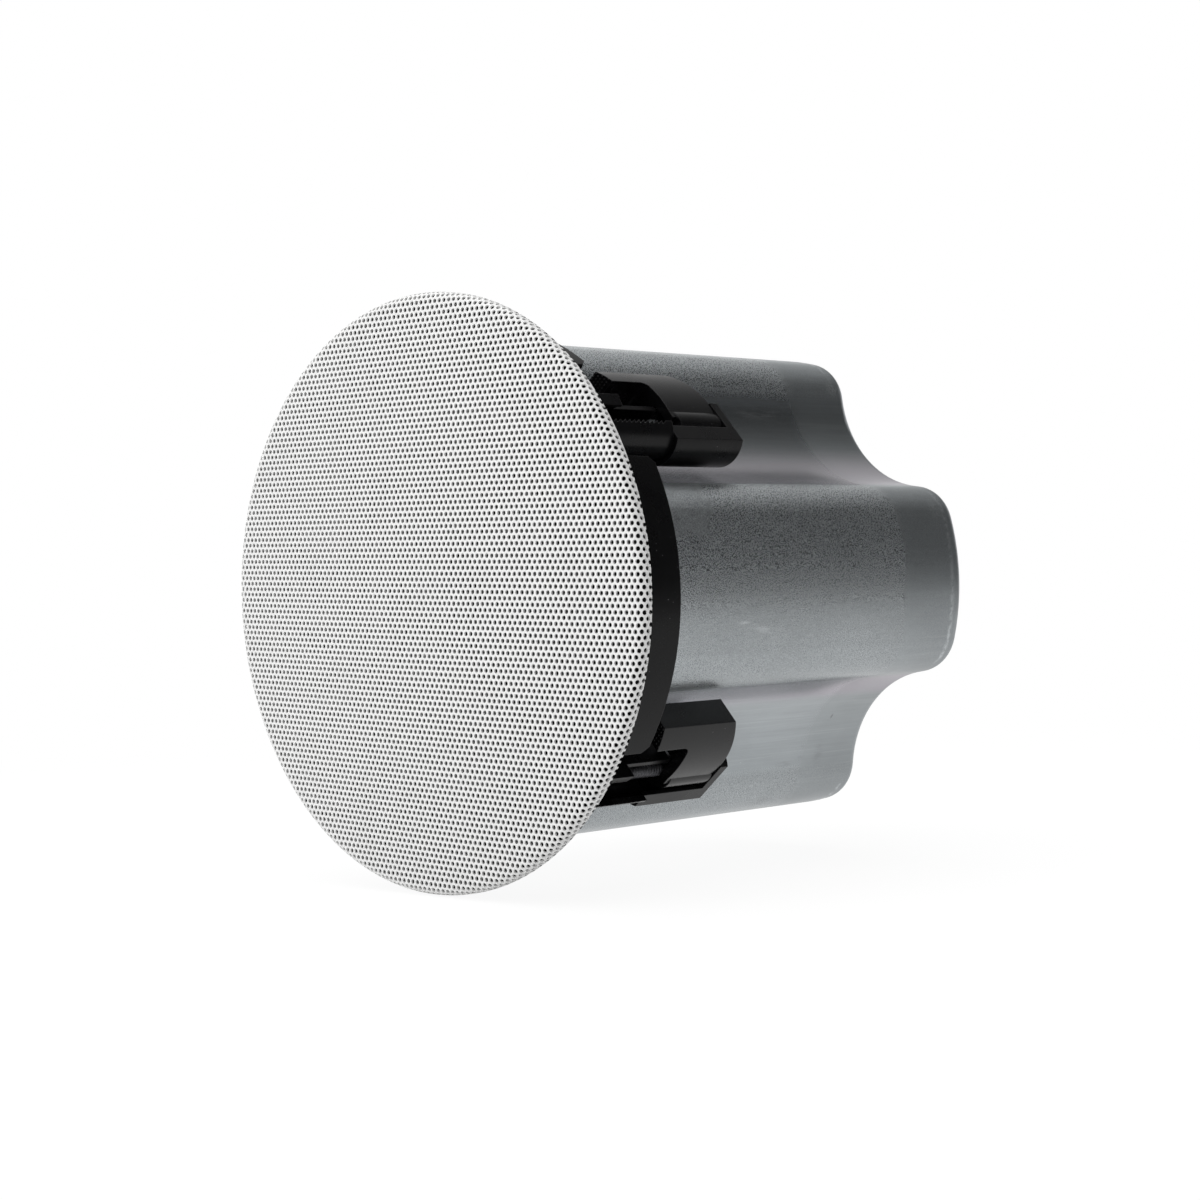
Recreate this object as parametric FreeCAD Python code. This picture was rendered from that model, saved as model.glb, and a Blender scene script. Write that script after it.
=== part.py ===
import FreeCAD, Part

import math
import os

# Ceiling loudspeaker in its own back can, millimetres.
# The loudspeaker's axis lies along Y: the grille faces -Y and the can runs to +Y.
# The plane y = 0 is the rear face of the flange, which seats on the ceiling or wall panel.
# An angle is counted about the axis from +X towards +Z.

# Perforated grille
GRILLE_BEYOND_WALL = 12.5
GRILLE_SHEET = 0.8
GRILLE_DOME = 3.3
GRILLE_BEND = 3.6
GRILLE_LIP = 1.5
GRILLE_TO_PANEL = 0.9
GRILLE_FIT = 0.6
GRILLE_TURN = -1.5
HOLE_PITCH = 15.5
HOLE_ACROSS_FLATS = 8.6
HOLE_MARGIN = 6.5

# Mounting frame
FLANGE_THICKNESS = 3.0
BAFFLE_LEDGE = 29.0
WALL_THICKNESS = 2.5
BAFFLE_FRONT = 11.0
BAFFLE_THICKNESS = 3.0
WOOFER_FIT = 0.9
SKIRT_REAR = 29.0
SKIRT_AFTER_CLAMP = 13.65
SKIRT_BEFORE_CLAMP = 12.95
SKIRT_CORNER = 3.0
RIB_COUNT = 24
RIB_THICKNESS = 1.6
RIB_HEIGHT = 3.0
RIB_SETBACK = 3.0

# Grille magnets
MAGNET_COUNT = 8
MAGNET_RADIUS = 4.0
MAGNET_THICKNESS = 2.0
MAGNET_BEYOND_WALL = 4.3
MAGNET_FIRST_ANGLE = 22.5
MAGNET_TO_GRILLE = 0.25
MAGNET_WALL = 1.5
MAGNET_LIP = 0.5

# Clamps
CLAMP_COUNT = 4
CLAMP_INSIDE_WALL = 12.5
CLAMP_ANGLE = 40.65
SCREW_RADIUS = 2.5
RUNNING_CLEARANCE = 0.08
SCREW_HEAD_RADIUS = 4.8
SCREW_HEAD_HEIGHT = 3.6
SCREW_RECESS_DEPTH = 2.0
SCREW_RECESS_WIDTH = 1.2
SCREW_COLLAR_RADIUS = 4.2
SCREW_COLLAR_WIDTH = 1.5
SCREW_COLLAR_PLAY = 0.2
TOWER_REAR = 61.0
TOWER_OFFSET = 2.35
TOWER_RADIUS = 11.3
TOWER_WALL = 2.8
TOWER_SIDE = 10.3
TOWER_SIDE_TOP = 9.0
TOWER_SIDE_LOW = 2.8
TOWER_SIDE_BOTTOM = 7.0
TOWER_RIB_INSIDE = 5.3
TOWER_RIB_INSIDE_TOP = 7.8
TOWER_EDGE = 5.8
TOOTH_PITCH = 2.65
TOOTH_DEPTH = 1.3
TOOTH_MARGIN = 2.0
CAP_LAP = 7.0
CAP_FIT = 0.3
CAP_WALL = 1.9
CAP_FLAT = 8.2
CAP_OPENING_INWARD = 5.0
CAP_REAR = 94.3
CAP_END_WALL = 4.4
EAR_BARREL_RADIUS = 8.0
EAR_BARREL_FRONT = 64.0
EAR_BARREL_LENGTH = 25.5
EAR_PAD_Y = 42.0
EAR_TRAVEL = 26.0
EAR_REAR = 89.5
EAR_TIP_REAR = 85.5
EAR_REAR_BOW = 0.9
EAR_TO_TOWER = 0.6
EAR_LEG_INSIDE = 21.4
EAR_LEG_OUTSIDE = 31.0
EAR_FACE_OUT = 7.4
EAR_FACE_MIDDLE = 6.9
EAR_FACE_TIP = 1.7
EAR_ARM_INSIDE = 5.0
EAR_OVER_TOWER = 0.4
EAR_BESIDE_TOWER = 0.5
EAR_LEG_DEPTH = 10.6
EAR_NOTCH_RADIUS = 3.0

# Back can
CAN_INSIDE_WALL = 5.9
CAN_LOBES = 4
CAN_SHOULDER = 19.8
CAN_FLUTE = 49.3
CAN_FLUTE_BEYOND_CLAMP = 29.5
CAN_WALL = 1.0
CAN_REAR = 226.8
CAN_EDGE = 6.3
GASKET_THICKNESS = 2.0
GASKET_INSIDE = 3.2
GASKET_OUTSIDE = 1.2
LUG_ANGLE = 14.0
LUG_INSIDE_CAN = 8.6
LUG_WIDTH = 13.0
LUG_REACH = 6.5
CAN_SCREW_RADIUS = 2.0
CAN_SCREW_HEAD = 4.0
CAN_SCREW_HEAD_HEIGHT = 2.6
CAN_SCREW_LENGTH = 10.0
HOLE_CLEARANCE = 0.2
CAN_BOSS_RADIUS = 4.0

# Woofer
BASKET_RIM = 3.6
BASKET_SHEET = 1.5
BASKET_LAND = 4.1
BASKET_SHOULDER_Y = 20.0
BASKET_TAPER = 2.6
SPIDER_LEDGE_Y = 34.0
SPIDER_LEDGE_INSIDE_CONE = 8.0
SPIDER_LEDGE_WIDTH = 9.0
BASKET_FLOOR_Y = 45.7
BASKET_FLOOR_HOLE = 19.0
BASKET_WINDOWS = 6
BASKET_WINDOW_ANGLE = 38.0
WOOFER_SCREW_FROM_OPENING = 3.9
WOOFER_SCREW_COUNT = 4
WOOFER_SCREW_FIRST_ANGLE = 22.5
WOOFER_SCREW_RADIUS = 2.0
WOOFER_SCREW_HEAD = 3.3
WOOFER_SCREW_HEAD_HEIGHT = 2.4
WOOFER_SCREW_LENGTH = 10.0
WOOFER_BOSS_RADIUS = 3.8
WOOFER_BOSS_LENGTH = 12.0
SURROUND_TO_SCREWS = 0.5
SURROUND_ROLL = 10.5
SURROUND_LAP = 2.5
SURROUND_HEIGHT = 5.2
SURROUND_THICKNESS = 0.8
CONE_RADIUS = 60.0
CONE_NECK_Y = 30.0
CONE_THICKNESS = 0.8
CONE_BOW = 2.4
FORMER_RADIUS = 15.9
FORMER_WALL = 0.3
FORMER_PAST_NECK = 1.0
COIL_BUILD = 1.0
COIL_FRONT = 46.5
COIL_LENGTH = 12.0
CAP_DOME_BEYOND_FORMER = 2.6
CAP_DOME_HEIGHT = 5.0
CAP_DOME_RIM = 1.5
CAP_DOME_GLUE = 0.05
SPIDER_SET_BACK = 1.0
SPIDER_ROLLS = 5
SPIDER_ROLL_HEIGHT = 1.6
TOP_PLATE_BEYOND_BASKET = 3.0
TOP_PLATE_THICKNESS = 6.0
GAP_CLEARANCE = 0.5
MAGNET_RING_BEYOND_PLATE = 4.0
MAGNET_RING_INNER = 24.0
MAGNET_RING_THICKNESS = 16.3
POLE_CLEARANCE = 0.4
POLE_VENT = 5.0
BACK_PLATE_THICKNESS = 6.0

# Tweeter on its bridge
BRIDGE_ARMS = 4
BRIDGE_FIRST_ANGLE = 45.0
BRIDGE_ARM_WIDTH = 9.0
BRIDGE_FRONT = -2.6
BRIDGE_THICKNESS = 3.0
BRIDGE_FOOT_FROM_OPENING = 1.9
BRIDGE_FOOT_LENGTH = 4.6
TWEETER_CUP_RADIUS = 21.0
TWEETER_CUP_WALL = 2.0
TWEETER_CUP_REAR = 11.0
TWEETER_PLATE_LAP = 3.0
TWEETER_PLATE_THICKNESS = 2.6
TWEETER_THROAT = 12.6
TWEETER_FLARE = 5.4
TWEETER_DOME_HEIGHT = 3.2
TWEETER_DOME_WALL = 0.5
TWEETER_DOME_RIM = 1.2
TWEETER_DOME_FIT = 0.6
TWEETER_MOTOR_TO_CUP = 3.0

# Tap selector
SELECTOR_ANGLE = 90.0
SELECTOR_TO_GASKET = 1.0
SELECTOR_BODY = 19.0
SELECTOR_DEPTH = 15.0
SELECTOR_BUSH = 4.5
SELECTOR_BUSH_FRONT = 8.0
SELECTOR_NUT_ACROSS = 13.0
SELECTOR_NUT_THICKNESS = 2.4
SELECTOR_SHAFT = 3.0
SELECTOR_TAG_PITCH = 4.0
KNOB_RADIUS = 8.0
KNOB_FRONT = 0.2
KNOB_TO_BUSH = 0.5
KNOB_FLUTES = 12
KNOB_FLUTE_RADIUS = 1.3
KNOB_POINTER_WIDTH = 2.0
KNOB_POINTER_HEIGHT = 1.4

# Pieces on the rear wall, inside the can
TRANSFORMER_Z = 33.0
CORE_WIDTH = 50.0
CORE_HEIGHT = 42.0
CORE_STACK = 17.0
CORE_WINDOW_SHIFT = 1.0
BOBBIN_STACK = 29.0
BOBBIN_FIT = 0.3
BOBBIN_SLIP = 0.2
BRACKET_FOOT = 10.0
BRACKET_SHEET = 1.2
BRACKET_SCREW = 1.9
BRACKET_SCREW_HEAD = 3.6
BRACKET_SCREW_HEAD_HEIGHT = 2.2
BOARD_Z = -34.0
BOARD_WIDTH = 82.0
BOARD_HEIGHT = 46.0
BOARD_THICKNESS = 1.6
BOARD_STANDOFF = 7.0
BOARD_POST_RADIUS = 3.2
BOARD_POST_INSET = 5.0
BOARD_PIN_RADIUS = 1.5
BOARD_PIN_HEAD = 2.4
BOARD_PIN_HEIGHT = 3.0
CAPACITOR_RADIUS = 6.5
CAPACITOR_LENGTH = 25.0
INDUCTOR_RADIUS = 13.0
INDUCTOR_BORE = 6.0
INDUCTOR_LENGTH = 14.0
RESISTOR_LENGTH = 24.0
CAPACITOR_FROM_EDGE = 8.0
CAPACITOR_PITCH = 17.0
INDUCTOR_X = 10.0
RESISTOR_FROM_EDGE = 10.0
RESISTOR_SIZE = 8.5
WADDING_RADIUS_CLEARANCE = 0.3
WADDING_THICKNESS = 10.0
WADDING_FRONT = 92.0
WADDING_REAR = 176.0

# Pieces on the rear wall, outside the can
TERMINAL_LENGTH = 44.0
TERMINAL_WIDTH = 17.0
TERMINAL_HEIGHT = 14.0
TERMINAL_WAYS = 4
TERMINAL_WELL = 3.2
TERMINAL_WELL_Z = -2.0
TERMINAL_WELL_DEPTH = 8.0
TERMINAL_SCREW_LENGTH = 3.5
TERMINAL_ENTRY = 4.4
TERMINAL_NECK_INSET = 3.0
TERMINAL_NECK_LENGTH = 4.0
COVER_LENGTH = 66.0
COVER_WIDTH = 46.0
COVER_HEIGHT = 30.0
COVER_SHEET = 1.0
COVER_EAR = 12.0
COVER_CORNER = 4.0
COVER_SCREW = 2.0
COVER_SCREW_HEAD = 3.8
COVER_SCREW_HEAD_HEIGHT = 2.4
COVER_SCREW_LENGTH = 8.0
CABLE_HOLE = 11.0
GLAND_FLANGE = 14.5
GLAND_FLANGE_THICKNESS = 2.5
GLAND_BORE = 8.5
GLAND_LENGTH = 13.0
GLAND_NUT_ACROSS = 26.0
GLAND_NUT_THICKNESS = 3.0
LOOP_Z = -52.0
LOOP_WIDTH = 18.0
LOOP_SHEET = 2.0
LOOP_HEIGHT = 17.0
LOOP_FOOT = 15.0
LOOP_EYE = 4.5
LOOP_EYE_TO_TOP = 3.0
LOOP_RIVET = 2.0
LOOP_RIVET_HEAD = 3.4
LOOP_RIVET_HEAD_HEIGHT = 1.4

# Places worked out from the sizes above
SURROUND_SEAT = CONE_RADIUS + SURROUND_ROLL
SURROUND_INNER = CONE_RADIUS - SURROUND_LAP
BASKET_BODY = SURROUND_SEAT + BASKET_LAND
BASKET_SHOULDER = BASKET_BODY - BASKET_TAPER
WOOFER_OPENING = BASKET_BODY + WOOFER_FIT
WOOFER_SCREW_PITCH = WOOFER_OPENING + WOOFER_SCREW_FROM_OPENING
BASKET_RADIUS = WOOFER_SCREW_PITCH + BASKET_RIM
SPIDER_LEDGE_OUTER = CONE_RADIUS - SPIDER_LEDGE_INSIDE_CONE
SPIDER_LEDGE_INNER = SPIDER_LEDGE_OUTER - SPIDER_LEDGE_WIDTH
SPIDER_OUTER = SPIDER_LEDGE_OUTER - SPIDER_SET_BACK
TOP_PLATE_RADIUS = SPIDER_LEDGE_INNER + TOP_PLATE_BEYOND_BASKET
MAGNET_RING_OUTER = TOP_PLATE_RADIUS + MAGNET_RING_BEYOND_PLATE
POLE_RADIUS = FORMER_RADIUS - FORMER_WALL - POLE_CLEARANCE
CAP_DOME_RADIUS = FORMER_RADIUS + CAP_DOME_BEYOND_FORMER
BRIDGE_FOOT_INNER = WOOFER_OPENING + BRIDGE_FOOT_FROM_OPENING
BRIDGE_FOOT_OUTER = BRIDGE_FOOT_INNER + BRIDGE_FOOT_LENGTH
TWEETER_PLATE_RADIUS = TWEETER_CUP_RADIUS + TWEETER_PLATE_LAP
TWEETER_MOUTH = TWEETER_THROAT + TWEETER_FLARE
TWEETER_MOTOR_RADIUS = TWEETER_CUP_RADIUS - TWEETER_CUP_WALL - TWEETER_MOTOR_TO_CUP
WALL_RADIUS = BASKET_RADIUS + BAFFLE_LEDGE
GRILLE_RADIUS = WALL_RADIUS + GRILLE_BEYOND_WALL
MAGNET_PITCH_RADIUS = WALL_RADIUS + MAGNET_BEYOND_WALL
CLAMP_RADIUS = WALL_RADIUS - CLAMP_INSIDE_WALL
CAN_RADIUS = WALL_RADIUS - CAN_INSIDE_WALL
CAN_FLUTE_PITCH = CLAMP_RADIUS + CAN_FLUTE_BEYOND_CLAMP
CAN_LOBE_STEP = 360.0 / CAN_LOBES
LUG_RADIUS = CAN_RADIUS - LUG_INSIDE_CAN
GRILLE_RIM_Y = -(GRILLE_TO_PANEL + GRILLE_LIP + GRILLE_BEND)
FLANGE_RADIUS = GRILLE_RADIUS - GRILLE_SHEET - GRILLE_FIT
WALL_INSIDE = WALL_RADIUS - WALL_THICKNESS
BAFFLE_REAR = BAFFLE_FRONT + BAFFLE_THICKNESS
CAN_FRONT = BAFFLE_REAR + GASKET_THICKNESS
REAR_INSIDE = CAN_REAR - CAN_WALL
CLAMP_STEP = 360.0 / CLAMP_COUNT
TOWER_INSIDE = TOWER_RADIUS - TOWER_WALL
CAP_INSIDE = TOWER_RADIUS + CAP_FIT
CAP_RADIUS = CAP_INSIDE + CAP_WALL
CAP_FRONT = TOWER_REAR - CAP_LAP
BASKET_FRONT = BAFFLE_FRONT - BASKET_SHEET
TOP_PLATE_REAR = BASKET_FLOOR_Y + TOP_PLATE_THICKNESS
MAGNET_RING_REAR = TOP_PLATE_REAR + MAGNET_RING_THICKNESS
BOARD_REAR = REAR_INSIDE - BOARD_STANDOFF
BOARD_FRONT = BOARD_REAR - BOARD_THICKNESS
BRIDGE_REAR = BRIDGE_FRONT + BRIDGE_THICKNESS
SURROUND_OUTER = WOOFER_SCREW_PITCH - WOOFER_SCREW_HEAD - SURROUND_TO_SCREWS
SELECTOR_RADIUS = CAN_RADIUS - GASKET_INSIDE - SELECTOR_TO_GASKET - SELECTOR_BODY / 2

AXIS = FreeCAD.Vector(0, 1, 0)
ORIGIN = FreeCAD.Vector(0, 0, 0)


def point(x, y, z):
    return FreeCAD.Vector(x, y, z)


def turned(shape, degrees):
    # a copy turned about the loudspeaker's axis, from +X towards +Z
    copy = shape.copy()
    copy.rotate(ORIGIN, AXIS, -degrees)
    return copy


def cylinder(radius, y0, y1, x=0.0, z=0.0):
    return Part.makeCylinder(radius, y1 - y0, point(x, y0, z), AXIS)


def tube(inner, outer, y0, y1, x=0.0, z=0.0):
    return cylinder(outer, y0, y1, x, z).cut(cylinder(inner, y0, y1, x, z))


def block(x0, x1, y0, y1, z0, z1):
    return Part.makeBox(x1 - x0, y1 - y0, z1 - z0, point(x0, y0, z0))


def centred_block(width, y0, y1, height, x=0.0, z=0.0):
    return block(x - width / 2, x + width / 2, y0, y1, z - height / 2, z + height / 2)


def union(shapes):
    return shapes[0].multiFuse(shapes[1:]).removeSplitter()


def spun(edges):
    # the closed outline of (radius, y) edges, turned once about the loudspeaker's axis
    return Part.Face(Part.Wire(edges)).revolve(ORIGIN, AXIS, 360)


def line(a, b):
    return Part.LineSegment(point(a[0], a[1], 0), point(b[0], b[1], 0)).toShape()


def arc(a, middle, b):
    return Part.Arc(point(a[0], a[1], 0), point(middle[0], middle[1], 0), point(b[0], b[1], 0)).toShape()


def cap_arc(radius, y, height):
    # from the rim of a round cap to its top on the axis, which lies before the rim by the height
    sphere = (radius ** 2 + height ** 2) / (2 * height)
    half = math.asin(radius / sphere) / 2
    middle = (sphere * math.sin(half), y - height + sphere * (1 - math.cos(half)))
    return arc((radius, y), middle, (0.0, y - height))


def outline(corners):
    # straight edges round a list of (radius, y) corners
    return [line(a, b) for a, b in zip(corners, corners[1:] + corners[:1])]


def prism_y(corners, y0, y1):
    # a straight-sided block along the axis, from (x, z) corners
    points = [point(x, y0, z) for x, z in corners]
    face = Part.Face(Part.makePolygon(points + points[:1]))
    return face.extrude(AXIS * (y1 - y0))


def hexagon_block(across, y0, y1, x=0.0, z=0.0):
    corner = across / 2 / math.cos(math.pi / 6)
    steps = [math.pi / 3 * k for k in range(6)]
    return prism_y([(x + corner * math.sin(a), z + corner * math.cos(a)) for a in steps], y0, y1)


def pan_screw(radius, head_radius, head_height, seat_y, length, x, z, points_back=False):
    # a pan head on one side of its seat and a plain shank on the other
    sign = -1.0 if points_back else 1.0
    ends = sorted((seat_y, seat_y - sign * head_height))
    head = cylinder(head_radius, ends[0], ends[1], x, z)
    outer_face = ends[0] if sign > 0 else ends[1]
    rim = [e for e in head.Edges if e.Closed and abs(e.CenterOfMass.y - outer_face) < 1e-6]
    head = head.makeFillet(head_height * 0.45, rim)
    slot_ends = sorted((outer_face, outer_face + sign * head_height * 0.5))
    for width, height in ((0.35, 1.3), (1.3, 0.35)):
        cross = centred_block(head_radius * width, slot_ends[0], slot_ends[1], head_radius * height, x, z)
        head = head.cut(cross)
    ends = sorted((seat_y, seat_y + sign * length))
    return head.fuse(cylinder(radius, ends[0], ends[1], x, z)).removeSplitter()


def around(radius, degrees):
    angle = math.radians(degrees)
    return radius * math.cos(angle), radius * math.sin(angle)


def clamp_angles():
    return [CLAMP_ANGLE + CLAMP_STEP * k for k in range(CLAMP_COUNT)]


def dome_y(radius):
    # the grille's outer surface at a distance from the axis
    return GRILLE_RIM_Y - GRILLE_DOME * (1 - (radius / (GRILLE_RADIUS - GRILLE_BEND)) ** 2)


def grille_sheet():
    def skin(inset):
        # the outer skin, or one lying the sheet's thickness inside it
        edge = GRILLE_RADIUS - GRILLE_BEND
        bend = GRILLE_BEND - inset
        start = (0.0, dome_y(0.0) + inset)
        middle = (edge / 2, dome_y(edge / 2) + inset)
        shoulder = (edge, GRILLE_RIM_Y + inset)
        diagonal = bend * math.sqrt(0.5)
        knee = (edge + diagonal, GRILLE_RIM_Y + GRILLE_BEND - diagonal)
        side = (GRILLE_RADIUS - inset, GRILLE_RIM_Y + GRILLE_BEND)
        lip = (GRILLE_RADIUS - inset, GRILLE_RIM_Y + GRILLE_BEND + GRILLE_LIP)
        return [arc(start, middle, shoulder), arc(shoulder, knee, side), line(side, lip)], start, lip

    outer, outer_start, outer_lip = skin(0.0)
    inner, inner_start, inner_lip = skin(GRILLE_SHEET)
    closing = [line(outer_lip, inner_lip), line(inner_start, outer_start)]
    return spun(outer + closing + inner)


def grille_holes():
    # staggered rows of hexagonal holes, out to the margin
    rows = int(GRILLE_RADIUS / (HOLE_PITCH * math.sqrt(0.75))) + 1
    columns = int(GRILLE_RADIUS / HOLE_PITCH) + 2
    limit = GRILLE_RADIUS - HOLE_MARGIN - HOLE_ACROSS_FLATS / 2
    front = dome_y(0.0) - 1.0
    holes = []
    for row in range(-rows, rows + 1):
        shift = HOLE_PITCH / 2 if row % 2 else 0.0
        for column in range(-columns, columns + 1):
            x = column * HOLE_PITCH + shift
            z = row * HOLE_PITCH * math.sqrt(0.75)
            if math.hypot(x, z) < limit:
                holes.append(hexagon_block(HOLE_ACROSS_FLATS, front, GRILLE_RIM_Y + GRILLE_BEND, x, z))
    return holes


def grille():
    return turned(grille_sheet().cut(Part.makeCompound(grille_holes())), GRILLE_TURN)


def magnet_front():
    return dome_y(MAGNET_PITCH_RADIUS + MAGNET_RADIUS) + GRILLE_SHEET + MAGNET_TO_GRILLE


def magnet_places():
    return [around(MAGNET_PITCH_RADIUS, MAGNET_FIRST_ANGLE + 360.0 / MAGNET_COUNT * k) for k in range(MAGNET_COUNT)]


def grille_magnets():
    front = magnet_front()
    return Part.makeCompound([cylinder(MAGNET_RADIUS, front, front + MAGNET_THICKNESS, x, z) for x, z in magnet_places()])


def tower_section(y0, y1):
    # the guide channel's wall, at angle zero, with the screw's axis at CLAMP_RADIUS
    body = cylinder(TOWER_RADIUS, y0, y1, CLAMP_RADIUS, -TOWER_OFFSET)
    side = block(CLAMP_RADIUS - TOWER_SIDE_BOTTOM, CLAMP_RADIUS + TOWER_SIDE_TOP, y0, y1, 0.0, TOWER_SIDE)
    body = body.fuse(side)
    slope = (TOWER_SIDE_TOP - TOWER_RIB_INSIDE_TOP) / (TOWER_SIDE - TOWER_RIB_INSIDE)
    far = 4 * TOWER_RADIUS
    rib = (CLAMP_RADIUS + TOWER_RIB_INSIDE_TOP, TOWER_RIB_INSIDE)
    mouth = [(CLAMP_RADIUS, -TOWER_EDGE), (CLAMP_RADIUS + far, -TOWER_EDGE), (CLAMP_RADIUS + far, far),
             (rib[0] + slope * (far - rib[1]), far), rib, (CLAMP_RADIUS, TOWER_RIB_INSIDE)]
    body = body.cut(prism_y(mouth, y0, y1))
    channel = cylinder(TOWER_INSIDE, y0, y1, CLAMP_RADIUS, 0.0)
    channel = channel.fuse(cylinder(TOWER_INSIDE, y0, y1, CLAMP_RADIUS, -TOWER_OFFSET))
    channel = channel.fuse(block(CLAMP_RADIUS - TOWER_INSIDE, CLAMP_RADIUS + TOWER_INSIDE, y0, y1, -TOWER_OFFSET, 0.0))
    return body.cut(channel)


def rack_teeth():
    # the notches along the channel's outward edge
    run = CAP_FRONT - BAFFLE_REAR - 2 * TOOTH_MARGIN
    count = int(run / TOOTH_PITCH)
    notches = []
    for k in range(count):
        y = BAFFLE_REAR + TOOTH_MARGIN + k * TOOTH_PITCH
        corners = [point(CLAMP_RADIUS, y, -TOWER_EDGE), point(CLAMP_RADIUS, y + TOOTH_PITCH * 0.9, -TOWER_EDGE),
                   point(CLAMP_RADIUS, y, -TOWER_EDGE - TOOTH_DEPTH)]
        face = Part.Face(Part.makePolygon(corners + corners[:1]))
        notches.append(face.extrude(point(TOWER_RADIUS + TOOTH_DEPTH, 0, 0)))
    return notches


def tower():
    shape = tower_section(BAFFLE_FRONT + BAFFLE_THICKNESS / 2, TOWER_REAR)
    shape = shape.cut(Part.makeCompound(rack_teeth()))
    # the rear end is lowered, where the cap's flat side lies over it
    low = CLAMP_RADIUS + CAP_FLAT - CAP_WALL - CAP_FIT
    step = block(low, low + 2 * TOWER_RADIUS, CAP_FRONT - CAP_FIT, TOWER_REAR, -3 * TOWER_RADIUS, 0.0)
    # the side wall is low where the ear's arm travels over it
    saddle = block(CLAMP_RADIUS + TOWER_SIDE_LOW, CLAMP_RADIUS + 2 * TOWER_RADIUS, TOWER_REAR - EAR_TRAVEL,
                   TOWER_REAR, 0.0, 2 * TOWER_SIDE)
    return shape.cut(step).cut(saddle)


def skirt_segment(start, end):
    # one stretch of the skirt, with its rear corners cut off
    corners = [(WALL_INSIDE, BAFFLE_FRONT), (WALL_RADIUS, BAFFLE_FRONT), (WALL_RADIUS, SKIRT_REAR), (WALL_INSIDE, SKIRT_REAR)]
    sector = Part.Face(Part.Wire(outline(corners))).revolve(ORIGIN, AXIS, start - end)
    sector = turned(sector, start)
    for angle, side in ((start, 1.0), (end, -1.0)):
        cut = [point(0.9 * WALL_INSIDE, SKIRT_REAR - SKIRT_CORNER, 0), point(0.9 * WALL_INSIDE, SKIRT_REAR, 0),
               point(0.9 * WALL_INSIDE, SKIRT_REAR, side * SKIRT_CORNER)]
        face = Part.Face(Part.makePolygon(cut + cut[:1]))
        sector = sector.cut(turned(face.extrude(point(0.2 * WALL_RADIUS, 0, 0)), angle))
    return sector


def lug_angles():
    return [CAN_LOBE_STEP * k + side * LUG_ANGLE for k in range(CAN_LOBES) for side in (-1, 1)]


def woofer_screw_angles():
    return [WOOFER_SCREW_FIRST_ANGLE + 360.0 / WOOFER_SCREW_COUNT * k for k in range(WOOFER_SCREW_COUNT)]


def baffle_ribs():
    # low radial ribs in the corner of the wall and the baffle
    ribs = []
    for k in range(RIB_COUNT):
        angle = 360.0 / RIB_COUNT * (k + 0.5)
        clear = min(abs((angle - c + 180) % 360 - 180) for c in clamp_angles() + lug_angles() + [SELECTOR_ANGLE])
        if clear > math.degrees(SCREW_HEAD_RADIUS / CLAMP_RADIUS) + RIB_THICKNESS:
            rib = block(BASKET_RADIUS + RIB_SETBACK, WALL_INSIDE + WALL_THICKNESS / 2, BAFFLE_FRONT - RIB_HEIGHT,
                        BAFFLE_FRONT + BAFFLE_THICKNESS / 2, -RIB_THICKNESS / 2, RIB_THICKNESS / 2)
            ribs.append(turned(rib, angle))
    return ribs


def mounting_frame():
    solids = [tube(WALL_INSIDE, FLANGE_RADIUS, -FLANGE_THICKNESS, 0.0),
              tube(WALL_INSIDE, WALL_RADIUS, -FLANGE_THICKNESS, BAFFLE_REAR),
              tube(WOOFER_OPENING, WALL_RADIUS, BAFFLE_FRONT, BAFFLE_REAR)]
    for angle in clamp_angles():
        solids.append(skirt_segment(angle + SKIRT_AFTER_CLAMP, angle + CLAMP_STEP - SKIRT_BEFORE_CLAMP))
        solids.append(turned(tower(), angle))
    boss_front = magnet_front() + MAGNET_LIP
    for x, z in magnet_places():
        solids.append(cylinder(MAGNET_RADIUS + MAGNET_WALL, boss_front, -FLANGE_THICKNESS / 2, x, z))
    for angle in lug_angles():
        x, z = around(LUG_RADIUS, angle)
        solids.append(cylinder(CAN_BOSS_RADIUS, BAFFLE_FRONT, CAN_FRONT, x, z))
    for angle in woofer_screw_angles():
        x, z = around(WOOFER_SCREW_PITCH, angle)
        solids.append(cylinder(WOOFER_BOSS_RADIUS, BAFFLE_FRONT, BAFFLE_FRONT + WOOFER_BOSS_LENGTH, x, z))
    solids += baffle_ribs()
    frame = union(solids)
    cuts = []
    for x, z in magnet_places():
        cuts.append(cylinder(MAGNET_RADIUS, magnet_front() - 1.0, magnet_front() + MAGNET_THICKNESS, x, z))
    for angle in clamp_angles():
        x, z = around(CLAMP_RADIUS, angle)
        cuts.append(cylinder(SCREW_RADIUS + RUNNING_CLEARANCE, BAFFLE_FRONT, BAFFLE_REAR, x, z))
    for angle in lug_angles():
        x, z = around(LUG_RADIUS, angle)
        cuts.append(cylinder(CAN_SCREW_RADIUS + HOLE_CLEARANCE, BAFFLE_FRONT, CAN_FRONT, x, z))
    for angle in woofer_screw_angles():
        x, z = around(WOOFER_SCREW_PITCH, angle)
        cuts.append(cylinder(WOOFER_SCREW_RADIUS, BAFFLE_FRONT, BAFFLE_FRONT + WOOFER_SCREW_LENGTH + 1.0, x, z))
    # the ring of bosses stays clear of the woofer's body
    cuts.append(cylinder(WOOFER_OPENING, BAFFLE_FRONT, BAFFLE_FRONT + WOOFER_BOSS_LENGTH))
    x, z = around(SELECTOR_RADIUS, SELECTOR_ANGLE)
    cuts.append(cylinder(SELECTOR_BUSH + HOLE_CLEARANCE, BAFFLE_FRONT, BAFFLE_REAR, x, z))
    return frame.cut(Part.makeCompound(cuts))


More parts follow.
